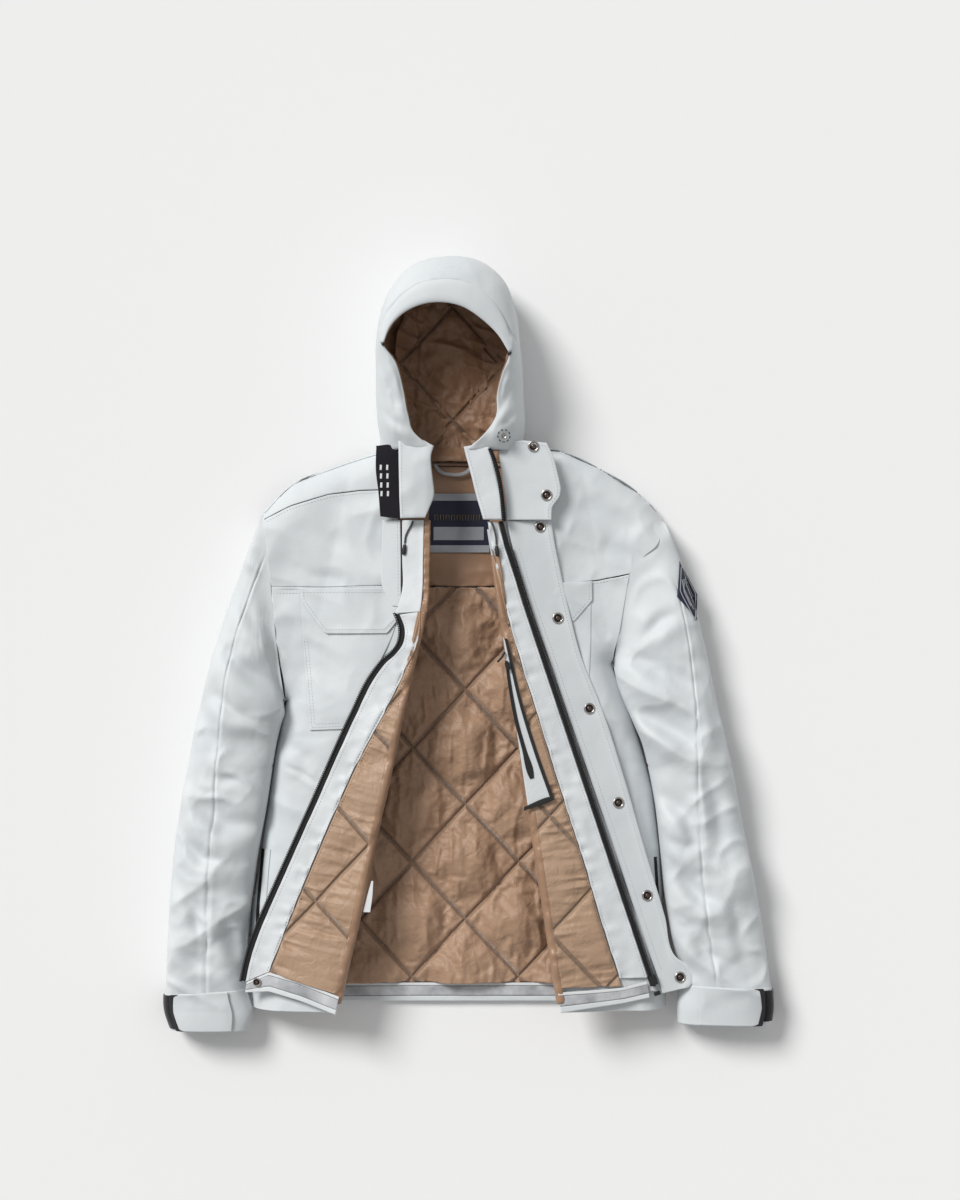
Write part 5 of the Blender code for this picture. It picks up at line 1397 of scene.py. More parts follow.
# hanger loop: a flat webbing that leaves the neck seam and returns to it
lp = curve_through([(434.6, 462.6), (437.0, 467.0), (440.6, 470.6), (445.6, 472.6), (451, 473.2), (458, 473.4), (463.0, 472.4), (467.4, 470.2), (470.4, 466.6)], 40)
LT = np.gradient(lp, axis=0)
LT /= np.linalg.norm(LT, axis=1, keepdims=True)
LN = np.stack([-LT[:, 1], LT[:, 0]], -1)
wide = 1.9
lo, hi = lp - LN * wide, lp + LN * wide
strip("hanger_loop_cloth", [tuple(p) for p in lo], [tuple(p) for p in hi], lambda U, V: 0.0166 + 0.0005 * bump((V - 474) / 5), 0.0018, LOOPGREY, "hanger_loop", n=40, step=0.0015, slot="reflective", nodes=("hanger_loop",))
# neck seam band between hood and lining
panel("neck_seam_band", [[(404, 461.6), (450, 460.6), (506, 461.6)], [(404, 465.2), (450, 464.2), (506, 465.2)]], lambda U, V: 0.0150 + 0.0010 * fbm(X(U) * 60, Y(V) * 20, 2, 79), 0.0040, SATIN, "torso", slot="lining")

# ---------------------------------------------------------------- sleeves
def power(c, k):
    return np.sign(c) * np.abs(c) ** k


UPPER_R = [
    ((262.4, 511), (284, 702), 0.0012, 0.050), ((249, 547), (280, 700), 0.0010, 0.061), ((238, 577), (279, 707), 0.0008, 0.067),
    ((226, 612), (278, 714), 0.0006, 0.071), ((214, 650), (275, 723), 0.0006, 0.074), ((203, 690), (272, 734), 0.0006, 0.075),
    ((193, 735), (269, 748), 0.0006, 0.075)]
LOWER_R = [
    ((187.3, 766), (266.0, 766), 0.0006, 0.075), ((181, 800), (261, 800), 0.0006, 0.073), ((173, 850), (252, 850), 0.0006, 0.070),
    ((169, 900), (245, 900), 0.0006, 0.066), ((166, 950), (240, 945), 0.0006, 0.060), ((164, 990), (240, 984), 0.0006, 0.055),
    ((163, 998), (242, 993), 0.0006, 0.053), ((164, 1015), (249, 1015), 0.0006, 0.051), ((170, 1033), (247, 1033), 0.0006, 0.049)]
UPPER_L = [
    ((664.6, 519.6), (614.4, 663), 0.0012, 0.050), ((680, 556), (617, 670), 0.0010, 0.061), ((690, 588), (622, 684), 0.0008, 0.067),
    ((700, 622), (628, 696), 0.0006, 0.071), ((709, 660), (634, 710), 0.0006, 0.074), ((717, 700), (641, 726), 0.0006, 0.075),
    ((726, 738), (649, 745), 0.0006, 0.075)]
LOWER_L = [
    ((732.2, 766), (654.3, 766), 0.0006, 0.075), ((739, 800), (661, 800), 0.0006, 0.073), ((749, 850), (667, 850), 0.0006, 0.070),
    ((759, 900), (672, 900), 0.0006, 0.066), ((767, 945), (678, 940), 0.0006, 0.060), ((771, 978), (684, 972), 0.0006, 0.055),
    ((773, 992), (684, 990), 0.0006, 0.053), ((774, 1010), (681, 1006), 0.0006, 0.051), ((772, 1028), (680, 1026), 0.0006, 0.049)]
SEAMS = {
    "right": [[(259, 567), (249.6, 598), (236, 638), (226.5, 686), (223, 719), (217, 772), (216, 810), (211, 858), (209, 900), (208, 940), (206, 996)]],
    "left": [[(678, 590), (688, 640), (694, 690), (696, 760), (698, 820), (702, 880), (708, 930), (716, 980)]],
}
DENTS = {
    "right": [
        ([(222, 648), (246, 668), (286, 696)], 9, 0.0060), ([(214, 690), (238, 712), (262, 720)], 7, 0.0040),
        ([(190, 690), (205, 715), (214, 750)], 8, 0.0035), ([(196, 800), (226, 822), (262, 826)], 9, 0.0055),
        ([(184, 838), (205, 858), (236, 862)], 7, 0.0035), ([(176, 880), (196, 905), (204, 945)], 7, 0.0025),
        ([(218, 905), (230, 930), (238, 966)], 7, 0.0030), ([(240, 600), (256, 622), (276, 632)], 7, 0.0030),
        ([(206, 770), (222, 780), (246, 776)], 6, 0.0025), ([(178, 944), (196, 962), (216, 968)], 6, 0.0022)],
    "left": [
        ([(626, 652), (662, 672), (706, 690)], 9, 0.0065), ([(630, 706), (660, 722), (694, 744)], 8, 0.0050),
        ([(640, 640), (660, 620), (676, 612)], 7, 0.0030), ([(700, 760), (716, 800), (722, 850)], 8, 0.0045),
        ([(658, 790), (684, 812), (700, 850)], 8, 0.0040), ([(676, 870), (700, 895), (730, 905)], 8, 0.0045),
        ([(720, 880), (738, 920), (744, 965)], 7, 0.0030), ([(690, 930), (704, 950), (728, 962)], 7, 0.0030),
        ([(706, 690), (716, 720), (722, 750)], 6, 0.0028), ([(664, 836), (684, 846), (700, 842)], 6, 0.0024)],
}


ARMHOLE = {
    "right": [(262.4, 511), (264, 522), (266.5, 536), (268.6, 554), (271.4, 590), (276.4, 640), (284.6, 702)],
    "left": [(664.6, 519.6), (652, 520), (640, 534), (632, 556), (627, 580), (624.6, 594), (617.4, 628), (612.0, 664)],
}


class Tube:
    def __init__(self, rings, side):
        self.rings, self.side = rings, side
        self.arm = np.array(ARMHOLE[side], float)
        mids = np.array([[(a[0] + b[0]) / 2, (a[1] + b[1]) / 2] for a, b, _, _ in rings])
        self.t = np.concatenate([[0], np.cumsum(np.linalg.norm(np.diff(mids, axis=0), axis=1))]) * UNIT
        self.rows = np.array([[*a, *b, zb, zt] for a, b, zb, zt in rings], float)
        # the inner side rests against the body
        fill = np.clip(np.arange(len(rings)) / 3.0, 0, 1) * np.clip((len(rings) - 1 - np.arange(len(rings))) / 4.0, 0, 1)
        self.rows[:, 2] += fill * (6.0 if side == "right" else -6.0)

    def ring(self, t):
        return hermite(self.t, self.rows, np.atleast_1d(np.asarray(t, float)))

    def point(self, T, A, grow=0.0, relief=True, cap=True):
        """T: run along the sleeve in metres, A: angle in degrees, as grids."""
        R = self.ring(T.ravel()).reshape(*T.shape, 6)
        o, inn, zb, zt = R[..., 0:2], R[..., 2:4], R[..., 4], R[..., 5]
        c, s_ = np.cos(np.radians(A)), np.sin(np.radians(A))
        mid, half = (o + inn) / 2, np.linalg.norm(o - inn, axis=-1) / 2
        d = (o - mid) / half[..., None]
        flat = 0.80
        across = power(c, flat)
        uv = mid + d * (across * (half + grow / UNIT))[..., None]
        z = (zb + zt) / 2 + power(s_, flat) * ((zt - zb) / 2 + grow)
        if cap:
            share = np.clip((1 - across) / 2, 0, 1)
            straight = self.arm[0] + (self.arm[-1] - self.arm[0]) * share[..., None]
            curved = along(self.arm, share.ravel()).reshape(straight.shape)
            uv = uv + (curved - straight) * (1 - smoothstep(0, 0.055, T))[..., None]
        U, V = uv[..., 0], uv[..., 1]
        if cap:
            # at the armhole the top follows the front's own height
            w = smoothstep(0, 0.045, T)
            zf = np.clip(front(self.side, U, V), 0.0075, 0.09) + 0.0012
            z = np.where(s_ > 0, zf * (1 - w) + z * w, z)
        if relief:
            up = smoothstep(-0.2, 0.35, s_)
            px, py, sd = X(U), Y(V), (12 if self.side == "right" else 17)
            lean = 1 if self.side == "right" else -1
            zz = 0.25 * crumple(px, py, sd) + 0.0040 * fbm(px * 9, py * 6, 2, 31 if self.side == "right" else 35) + 0.0006 * fbm(px * 34, py * 28, 3, 33)
            zz = zz + 0.0100 * (ridged(px * 7.5 + lean * py * 4.0, py * 12 - lean * px * 8, sd + 1) - 0.35) + 0.0042 * (ridged(px * 19 - py * 9 * lean, py * 25 + px * 14 * lean, sd + 2) - 0.3)
            for pts, width, depth in DENTS[self.side]:
                zz = zz + 1.9 * crease(U, V, pts, width, depth, 0.8)
            low_end = smoothstep(0.004, 0.05, self.t[-1] - T)
            z = z + 0.0150 * np.tanh(zz / 0.0150) * up * smoothstep(0, 0.04, T) * low_end
        return np.stack([X(U), Y(V), np.maximum(z, 0.0006)], -1)


def seam_angle(tube, seam, T):
    """Angle at which a seam drawn on the pattern crosses each ring."""
    dense = along(seam, np.linspace(0, 1, 400))
    R = tube.ring(T)
    out = np.full(len(T), np.nan)
    for k, r in enumerate(R):
        o, inn = r[0:2], r[2:4]
        mid, half = (o + inn) / 2, np.linalg.norm(o - inn) / 2
        d = (o - mid) / half
        n = np.array([-d[1], d[0]])
        off = (dense - mid) @ n
        j = int(np.argmin(np.abs(off)))
        if abs(off[j]) < 1.5:
            x = float(np.clip((dense[j] - mid) @ d / half, -0.999, 0.999))
            out[k] = math.degrees(math.acos(math.copysign(abs(x) ** (1 / 0.80), x)))
    ok = ~np.isnan(out)
    idx = np.arange(len(T))
    return np.interp(idx, idx[ok], out[ok]), ok


def sleeve(side, upper, lower, sgn):
    tube = Tube(upper + lower, side)
    total = tube.t[-1]
    cut = tube.t[len(upper)]
    t1 = np.linspace(0, cut, int(cut / STEP) + 2)
    t2 = np.linspace(cut, total, int((total - cut) / STEP) + 2)
    t = np.concatenate([t1, t2[1:]])
    ang, ok = seam_angle(tube, SEAMS[side][0], t)
    k = np.arange(-7, 8)
    k = np.ones(9) / 9
    ang = np.convolve(np.pad(ang, 4, mode="edge"), k, mode="valid")
    circ = 0.30
    gaps = np.concatenate([[0, 0.0006, 0.0012, 0.0019, 0.0028, 0.0040], np.linspace(0.006, circ - 0.006, int(circ / STEP)), circ - np.array([0.0040, 0.0028, 0.0019, 0.0012, 0.0006])])
    A = ang[:, None] + (gaps / circ * 360)[None, :]
    T = np.broadcast_to(t[:, None], A.shape)
    P = tube.point(T, A)
    near = np.minimum(gaps, circ - gaps)[None, :]
    on = (smoothstep(0, 6, np.convolve(ok.astype(float), np.ones(7), mode="same")))[:, None]
    groove = -0.0011 * np.exp(-(near / 0.0011) ** 2) + 0.0006 * np.exp(-((near - 0.0034) / 0.0020) ** 2)
    pk = 0.0009 * vnoise(T / 0.011, gaps[None, :] * 30, 3) * 2 * np.exp(-(near / 0.012) ** 2)
    P[..., 2] += (groove + pk) * on
    N = normals_of(P, wrap=True)
    if (N[len(t) // 2, int(np.argmin(np.abs((A[len(t) // 2] % 360) - 90))), 2]) < 0:
        N = -N
        flipN = True
    else:
        flipN = False
    cutrow = len(t1) - 1
    obs = []
    for part, (a, b) in enumerate(((0, cutrow), (cutrow, len(t) - 1))):
        Q, M, tt, AA = P[a:b + 1], N[a:b + 1], t[a:b + 1], A[a:b + 1]
        uv = np.stack([np.broadcast_to(gaps[None, :], Q.shape[:2]), -np.broadcast_to(tt[:, None], Q.shape[:2])], -1)
        ob = slab(side + ("_upper_sleeve_cloth" if part == 0 else "_forearm_sleeve_cloth"), Q, gaps, tt - tt[0], 0.0022, SHELL, wrap=True, uvs=uv, round_ends=False,
                  normal=-M if flipN else M, flip=flipN)
        # shade both parts as one surface
        me = ob.data
        n = Q.shape[0] * Q.shape[1]
        nv = len(me.vertices)
        nor = np.zeros((nv, 3))
        me.vertices.foreach_get("normal", nor.ravel())
        buf = np.zeros(nv * 3, np.float32)
        me.vertices.foreach_get("normal", buf)
        nor = buf.reshape(-1, 3).copy()
        nor[:n] = M.reshape(-1, 3)
        me.normals_split_custom_set_from_vertices(nor.tolist())
        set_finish(ob, "shell")
        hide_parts(side + ("_upper_sleeve" if part == 0 else "_forearm_sleeve"))
        obs.append(ob)
    arm0, arm1 = np.array(upper[0][0]), np.array(upper[0][1])
    mid = (arm0 + arm1) / 2
    dirn = arm1 - arm0
    nrm = np.array([-dirn[1], dirn[0]]) / np.linalg.norm(dirn)
    if (np.array(upper[3][0]) - mid) @ nrm < 0:
        nrm = -nrm
    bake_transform(obs[0])
    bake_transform(obs[1])
    return tube, obs


TUBE_R, SLEEVE_R = sleeve("right", UPPER_R, LOWER_R, -1)
TUBE_L, SLEEVE_L = sleeve("left", UPPER_L, LOWER_L, 1)


def on_tube(name, tube, rows, lift, thick, mat, body, slot, left, step=None, nodes=(), relief=True, arc=0.30):
    """A patch on a sleeve: rows of (t, angle from, angle to)."""
    step = step or STEP * 0.7
    rows = np.asarray(rows, float)
    tt = np.linspace(rows[0, 0], rows[-1, 0], max(4, int((rows[-1, 0] - rows[0, 0]) / step) + 2))
    edge = np.array([0, 0.0004, 0.0010])
    tt = np.unique(np.concatenate([rows[0, 0] + edge, tt[1:-1], rows[-1, 0] - edge]))
    a0, a1 = np.interp(tt, rows[:, 0], rows[:, 1]), np.interp(tt, rows[:, 0], rows[:, 2])
    n = max(6, int(np.max(np.abs(a1 - a0)) / 360 * arc / step))
    f = np.unique(np.concatenate([[0, 0.008, 0.02], np.linspace(0.03, 0.97, n), [0.98, 0.992, 1]]))
    A = a0[:, None] + (a1 - a0)[:, None] * f[None, :]
    T = np.broadcast_to(tt[:, None], A.shape)
    P = tube.point(T, A, grow=lift, relief=relief)
    s = np.concatenate([[0], np.cumsum(np.linalg.norm(np.diff(P, axis=1), axis=2).mean(0))])
    N = normals_of(P)
    m = N[len(tt) // 2, len(f) // 2]
    mid = tube.point(T, A, grow=lift + 0.001, relief=relief)[len(tt) // 2, len(f) // 2] - P[len(tt) // 2, len(f) // 2]
    flip = float(m @ mid) < 0
    ob = slab(name, P, s, tt - tt[0], thick, mat, flip=flip)
    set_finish(ob, slot)
    if nodes:
        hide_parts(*nodes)
    if body:
        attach(ob, body)
    return ob


def tube_t(tube, v, k=0.5):
    """Run along a sleeve at which its centre line reaches ordinate v."""
    tt = np.linspace(0, tube.t[-1], 600)
    R = tube.ring(tt)
    vm = R[:, 1] * k + R[:, 3] * (1 - k)
    return float(np.interp(v, vm, tt))



# ------------------------------------------------- cuffs, tabs and badge
for side, tube, sgn, forearm, tab in (("right", TUBE_R, -1, "right_forearm", "right_cuff_tab"), ("left", TUBE_L, 1, "left_forearm", "left_cuff_tab")):
    left = side == "left"
    end = tube.t[-1]
    start = tube_t(tube, 993 if not left else 987)
    # band: a second layer round the wrist
    tt = np.linspace(start, end - 0.0008, 18)
    tt = np.unique(np.concatenate([tt, start + np.array([0.0004, 0.0010]), end - 0.0008 - np.array([0.0004, 0.0010])]))
    n = 90
    A = np.broadcast_to((np.arange(n) * 360 / n)[None, :], (len(tt), n))
    T = np.broadcast_to(tt[:, None], A.shape)
    P = tube.point(T, A, grow=0.0011)
    N = normals_of(P, wrap=True)
    up = N[9, int(n / 4), 2] > 0
    ob = slab(side + "_cuff_band_cloth", P, np.arange(n) * 0.26 / n, tt - tt[0], 0.0016, SHELL, wrap=True, flip=not up)
    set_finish(ob, "shell")
    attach(ob, forearm)
    # loop strip on the outer side, and the tab with its moulded end
    s0, s1 = start + 0.0012, end - 0.003
    on_tube(side + "_cuff_loop_cloth", tube, [(s0, -58, 44), (s1, -58, 44)] if not left else [(s0 + 0.002, -58, 47), (s1 - 0.004, -58, 47)], 0.0026, 0.0016, VELVET, forearm, "loop_black", left, nodes=(side + "_cuff_loop_strip",))
    a_edge = 43.0 if not left else 46.0
    on_tube(side + "_cuff_tab_cloth", tube, [(s0 - 0.001, a_edge + 8, 118), ((s0 + s1) / 2, a_edge + 4.5, 118), (s1 + 0.001, a_edge + 8, 118)], 0.0046, 0.0016, SHELL, tab, "shell", left, nodes=(side + "_cuff_tab",))
    on_tube(side + "_cuff_tab_end", tube, [(s0 - 0.0014, a_edge + 2, a_edge + 17), (s0 + 0.0016, a_edge + 0.5, a_edge + 9), ((s0 + s1) / 2, a_edge, a_edge + 5.5), (s1 - 0.0016, a_edge + 0.5, a_edge + 9), (s1 + 0.0014, a_edge + 2, a_edge + 17)],
            0.0056, 0.0020, RUBBER, tab, "zip_black", left, step=0.0012)

# badge: a navy rhombus with a pale border and a plain mark, laid on the sleeve
BADGE = np.array([(680.4, 560.6), (698.2, 594.4), (697.6, 620.0), (676.4, 596.6)])


def lift_on_sleeve(U, V, grow):
    """Height of the sleeve's top at (u, v), by search over its grid."""
    tt, aa = np.meshgrid(np.linspace(0.01, 0.24, 120), np.linspace(0, 100, 120), indexing="ij")
    P = TUBE_L.point(tt, aa, grow=grow)
    px, py = X(U), Y(V)
    d = (P[..., 0].ravel()[:, None] - px.ravel()[None, :]) ** 2 + (P[..., 1].ravel()[:, None] - py.ravel()[None, :]) ** 2
    idx = np.argsort(d, axis=0)[:4]
    w = 1 / (np.take_along_axis(d, idx, 0) + 1e-9)
    z = P[..., 2].ravel()[idx]
    return ((z * w).sum(0) / w.sum(0)).reshape(np.shape(U))


def rhomb(name, scale, lift, thick, mat, slot, node=None, n=10):
    c = BADGE.mean(0)
    q = c + (BADGE - c) * scale
    s, t = np.meshgrid(np.linspace(0, 1, n), np.linspace(0, 1, n))
    Q = (q[0] * ((1 - s) * (1 - t))[..., None] + q[1] * (s * (1 - t))[..., None] + q[2] * (s * t)[..., None] + q[3] * ((1 - s) * t)[..., None])
    Z = lift_on_sleeve(Q[..., 0], Q[..., 1], 0.0) + lift
    P = np.stack([X(Q[..., 0]), Y(Q[..., 1]), Z], -1)
    N = normals_of(P)
    ob = slab(name, P, np.linspace(0, 0.03, n), np.linspace(0, 0.05, n), thick, mat, flip=N[n // 2, n // 2, 2] < 0)
    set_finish(ob, slot)
    if node:
        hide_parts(node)
    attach(ob, "left_upper_sleeve")
    return Q, Z


rhomb("sleeve_badge_cloth", 1.0, 0.0022, 0.0012, NAVY, "label_navy", "sleeve_badge", 14)
c = BADGE.mean(0)


def badge_line(pts, lift=0.0026):
    q = along(np.array(pts), np.linspace(0, 1, 24))
    uv = c + (BADGE[0] - c) * q[:, :1] + (BADGE[1] - c) * q[:, 1:]
    Z = lift_on_sleeve(uv[:, 0], uv[:, 1], 0.0) + lift
    return np.stack([X(uv[:, 0]), Y(uv[:, 1]), Z], -1)


tubes("sleeve_badge_mark", [badge_line([(-0.86, 0), (0, -0.86), (0.86, 0), (0, 0.86), (-0.86, 0)]), badge_line([(-0.5, 0.1), (0.1, -0.36), (0.42, -0.1)]),
                            badge_line([(-0.42, -0.1), (-0.02, -0.42), (0.4, -0.34)]), badge_line([(-0.3, 0.34), (0.28, -0.02), (0.5, 0.14)]), badge_line([(-0.1, 0.5), (0.36, 0.2)])],
      0.0006, LABELGREY, "left_upper_sleeve", "label_navy", sides=6)

# ------------------------------------------------------------------- hood
HOOD = [
    ((379, 452), (433.4, 450.6), 0.088, (450, 460)), ((380, 441), (416.4, 436.4), 0.095, (450, 446)), ((377.8, 424), (409.8, 419), 0.100, (450, 424)),
    ((376, 400), (405, 394), 0.104, (450, 396)), ((376, 374), (398, 368), 0.110, (450, 372)),
    ((376, 348), (385.4, 349), 0.114, (450, 350)), ((380, 318), (392, 333), 0.118, (450, 350)),
    ((392, 288), (405, 319), 0.123, (450, 350)), ((412, 267), (421, 311), 0.127, (450, 350)),
    ((446, 257.5), (441, 308), 0.128, (450, 350)), ((480, 262), (463, 312), 0.127, (450, 350)),
    ((503, 280), (482, 324), 0.123, (450, 350)), ((515.6, 312), (498, 340), 0.118, (450, 350)),
    ((520.6, 350), (508.6, 358), 0.114, (450, 350)), ((523, 376), (501, 380), 0.110, (450, 372)),
    ((524, 402), (496.4, 400), 0.104, (450, 396)), ((525, 424), (494.6, 421), 0.100, (450, 424)),
    ((523, 441), (480.6, 440.0), 0.095, (450, 446)), ((522.6, 452), (465.2, 452.4), 0.088, (450, 460))]
PROFILE = [(0.0, 1.0, 0), (0.10, 1.004, 0), (0.3, 0.99, 0), (0.62, 0.90, 0), (0.88, 0.70, 0), (1.0, 0.45, 0), (0.97, 0.20, 1), (0.88, 0.05, 1), (0.55, 0.0, 1), (0.0, 0.0, 1)]


def hood_grid(inset, depth, profile, k_step):
    rows = []
    for outer, opening, z_open, centre in HOOD:
        outer, opening, centre = np.array(outer, float), np.array(opening, float), np.array(centre, float)
        dist = np.linalg.norm(outer - centre)
        edge = outer + (centre - outer) * (inset / UNIT / dist)
        lip = opening + (centre - opening) * (inset * 0.4 / UNIT / dist)
        row = []
        for t, h, under in profile:
            p = lip + (edge - lip) * t if not under else centre + (edge - centre) * t
            row.append((float(X(p[0])), float(Y(p[1])), depth + (z_open - inset * 0.8 - depth) * h))
        rows.append(row)
    rows = np.array(rows)
    seg = np.linalg.norm(np.diff(rows[:, 5], axis=0), axis=1)
    t = np.concatenate([[0], np.cumsum(seg)])
    tt = np.linspace(0, t[-1], int(t[-1] / k_step) + 2)
    G = hermite(t, rows, tt)
    seg2 = np.linalg.norm(np.diff(rows, axis=1), axis=2).mean(0)
    s = np.concatenate([[0], np.cumsum(seg2)])
    edges = np.array([0, 0.0003, 0.0008, 0.0015, 0.0024])
    ss = np.unique(np.concatenate([edges, np.linspace(0.0036, s[-1], int(s[-1] / k_step) + 2)]))
    G = np.swapaxes(hermite(s, np.swapaxes(G, 0, 1), ss), 0, 1)
    return G, ss, tt


HS = STEP * 0.8
G, ss, tt = hood_grid(0.0, 0.0030, PROFILE, HS)
U, V = G[..., 0] / UNIT + CU, CV - G[..., 1] / UNIT
CROWN = [(381, 334), (388, 319), (404, 303), (420, 294), (436, 290), (458, 290), (483, 306), (500, 322), (515, 345)]
cd, csg, ct = line_distance(U, V, CROWN)
tops = smoothstep(0.030, 0.070, G[..., 2])
side_mask = smoothstep(345, 372, V)
hz = 0.20 * crumple(G[..., 0], G[..., 1], 23) + 0.0014 * fbm(G[..., 0] * 24, G[..., 1] * 20, 3, 81)
hz = hz + (0.4 + 0.9 * side_mask) * (0.0030 * (ridged(G[..., 0] * 16 + G[..., 1] * 8, G[..., 1] * 15, 86) - 0.3) + 0.0014 * (ridged(G[..., 0] * 34, G[..., 1] * 28 + G[..., 0] * 14, 87) - 0.3))
hz = hz + side_mask * (0.0030 * fbm(U / 16.0, V / 30.0, 3, 83))
for pts, w, dep in (([(384, 372), (392, 392), (400, 412)], 3.0, 0.0028), ([(394, 366), (402, 386), (406, 408)], 2.4, 0.0022), ([(382, 408), (396, 424), (412, 434)], 4, 0.0026),
                    ([(520, 376), (510, 392), (500, 414)], 3.2, 0.0028), ([(505, 372), (500, 392), (498, 410)], 2.6, 0.0020), ([(518, 412), (506, 424), (496, 432)], 3.6, 0.0026),
                    ([(420, 276), (450, 268), (486, 278)], 6, 0.0010)):
    hz = hz + crease(U, V, pts, w, dep, 0.7)
hz = hz - 0.0034 * np.exp(-(cd / 1.3) ** 2) + 0.0016 * np.exp(-((cd - 4) / 2.5) ** 2) * (csg > 0)
G2 = G.copy()
G2[..., 2] += 0.0065 * np.tanh(hz / 0.0065) * tops * smoothstep(0, 0.008, ss)[None, :]
nrm = normals_of(G2)
hflip = nrm[len(tt) // 2, 6, 2] < 0
ob = slab("hood_shell_cloth", G2, ss, tt, 0.0026, SHELL, flip=bool(hflip), uvs=np.stack([G[..., 0] + 0 * G[..., 1], G[..., 1] + G[..., 2]], -1))
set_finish(ob, "shell")
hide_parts("hood_shell")


def hood_blend(obj):
    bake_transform(obj)


hood_blend(ob)
LPROF = [(0.0, 1.0, 0), (0.3, 0.98, 0), (0.62, 0.88, 0), (0.88, 0.66, 0), (1.0, 0.44, 0), (0.95, 0.20, 1), (0.84, 0.07, 1), (0.62, 0.02, 1), (0.3, 0.01, 1), (0.0, 0.012, 1)]
G, ss, tt = hood_grid(0.0062, 0.0070, LPROF, HS)
U, V = G[..., 0] / UNIT + CU, CV - G[..., 1] / UNIT
run_s, run_t = np.meshgrid(ss, tt)
lift = quilted(U * 1.0 + 12, V * 1.0 + 30, 0.0, 0.55, (0.1, 0.4), 9, 1.1)
lift = lift + 0.0020 * fbm(U / 40, V / 7, 3, 85) * smoothstep(300, 360, V)
nrm = normals_of(G)
if nrm[len(tt) // 2, len(ss) // 2, 2] < 0:
    nrm = -nrm
GL = G + nrm * (np.clip(lift, -0.001, 0.009) * smoothstep(0, 0.01, ss)[None, :] * smoothstep(ss[-1], ss[-1] - 0.01, ss)[None, :])[..., None]
n2 = normals_of(GL)
lflip = n2[len(tt) // 2, len(ss) - 4, 2] < 0
ob = slab("hood_quilt", GL, ss, tt, 0.0020, SATIN_HOOD_SHADED, flip=bool(lflip), uvs=np.stack([G[..., 0], G[..., 1] + G[..., 2]], -1))
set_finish(ob, "lining")
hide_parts("hood_lining")
hood_blend(ob)

# the back of the hood, seen through its opening, down to the neck seam
FLOOR_ROWS = [[(440, 272), (458, 272)], [(415, 290), (487, 290)], [(400, 320), (500, 320)], [(394, 360), (508, 360)], [(394, 400), (508, 400)], [(398, 436), (504, 436)], [(404, 452), (502, 452)], [(404, 461.0), (450, 460.0), (506, 461.0)]]


def hood_floor_z(U, V):
    r = np.minimum(line_distance(U, V, [(394, 330), (394, 430)])[0], line_distance(U, V, [(508, 330), (508, 430)])[0])
    base = 0.0100 + 0.0050 * smoothstep(440, 461, V) + 0.020 * np.exp(-(r / 9) ** 2) + 0.022 * np.exp(-((V - 272) / 20) ** 2)
    x, y = X(U), Y(V)
    swirl = 0.0052 * (ridged((U + 0.55 * V) / 46, (V - 0.35 * U) / 17, 91) - 0.3) + 0.0034 * fbm(x * 60, y * 36, 3, 92)
    chan = -0.0034 * np.exp(-((U - 415 - 2.0 * np.sin(V / 17.0)) / 1.8) ** 2) + 0.0016 * vnoise(V / 6.0, U / 20, 93) * np.exp(-((U - 415) / 9) ** 2) * 2
    return quilted(U, V, base, 0.90, (0.12, 0.35), 94, 0.6, 60, 40) + swirl * smoothstep(452, 430, V) + chan


ob = panel("hood_back_quilt", FLOOR_ROWS, hood_floor_z, 0.0030, SATIN_HOOD_SHADED, None, slot="lining", step=STEP * 0.66)
hood_blend(ob)

# brim: a stiffened band sewn on the crown, with its lower edge at the opening
BR = []
for outer, opening, z_open, centre in HOOD[5:14]:
    outer, opening = np.array(outer, float), np.array(opening, float)
    row = []
    for t, h in ((-0.05, 0.985), (0.0, 1.0), (0.2, 0.998), (0.36, 0.978), (0.42, 0.962)):
        p = opening + (outer - opening) * t
        row.append((float(X(p[0])), float(Y(p[1])), 0.0005 + (z_open - 0.0005) * h + 0.0036))
    BR.append(row)
BR = np.array(BR)
bt = np.concatenate([[0], np.cumsum(np.linalg.norm(np.diff(BR[:, 1], axis=0), axis=1))])
tt = np.linspace(0, bt[-1], int(bt[-1] / 0.0022))
GB = hermite(bt, BR, tt)
bs = np.concatenate([[0], np.cumsum(np.linalg.norm(np.diff(BR, axis=1), axis=2).mean(0))])
ssb = spaced(bs[-1], 0.0022) * bs[-1]
GB = np.swapaxes(hermite(bs, np.swapaxes(GB, 0, 1), ssb), 0, 1)
GB[..., 2] += 0.0006 * fbm(GB[..., 0] * 40, GB[..., 1] * 30, 2, 87)
nb = normals_of(GB)
ob = slab("hood_brim_cloth", GB, ssb, tt, 0.0030, SHELL, flip=bool(nb[len(tt) // 2, 3, 2] < 0), uvs=GB[..., :2])
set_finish(ob, "shell")
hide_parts("hood_brim")
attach(ob, "hood")
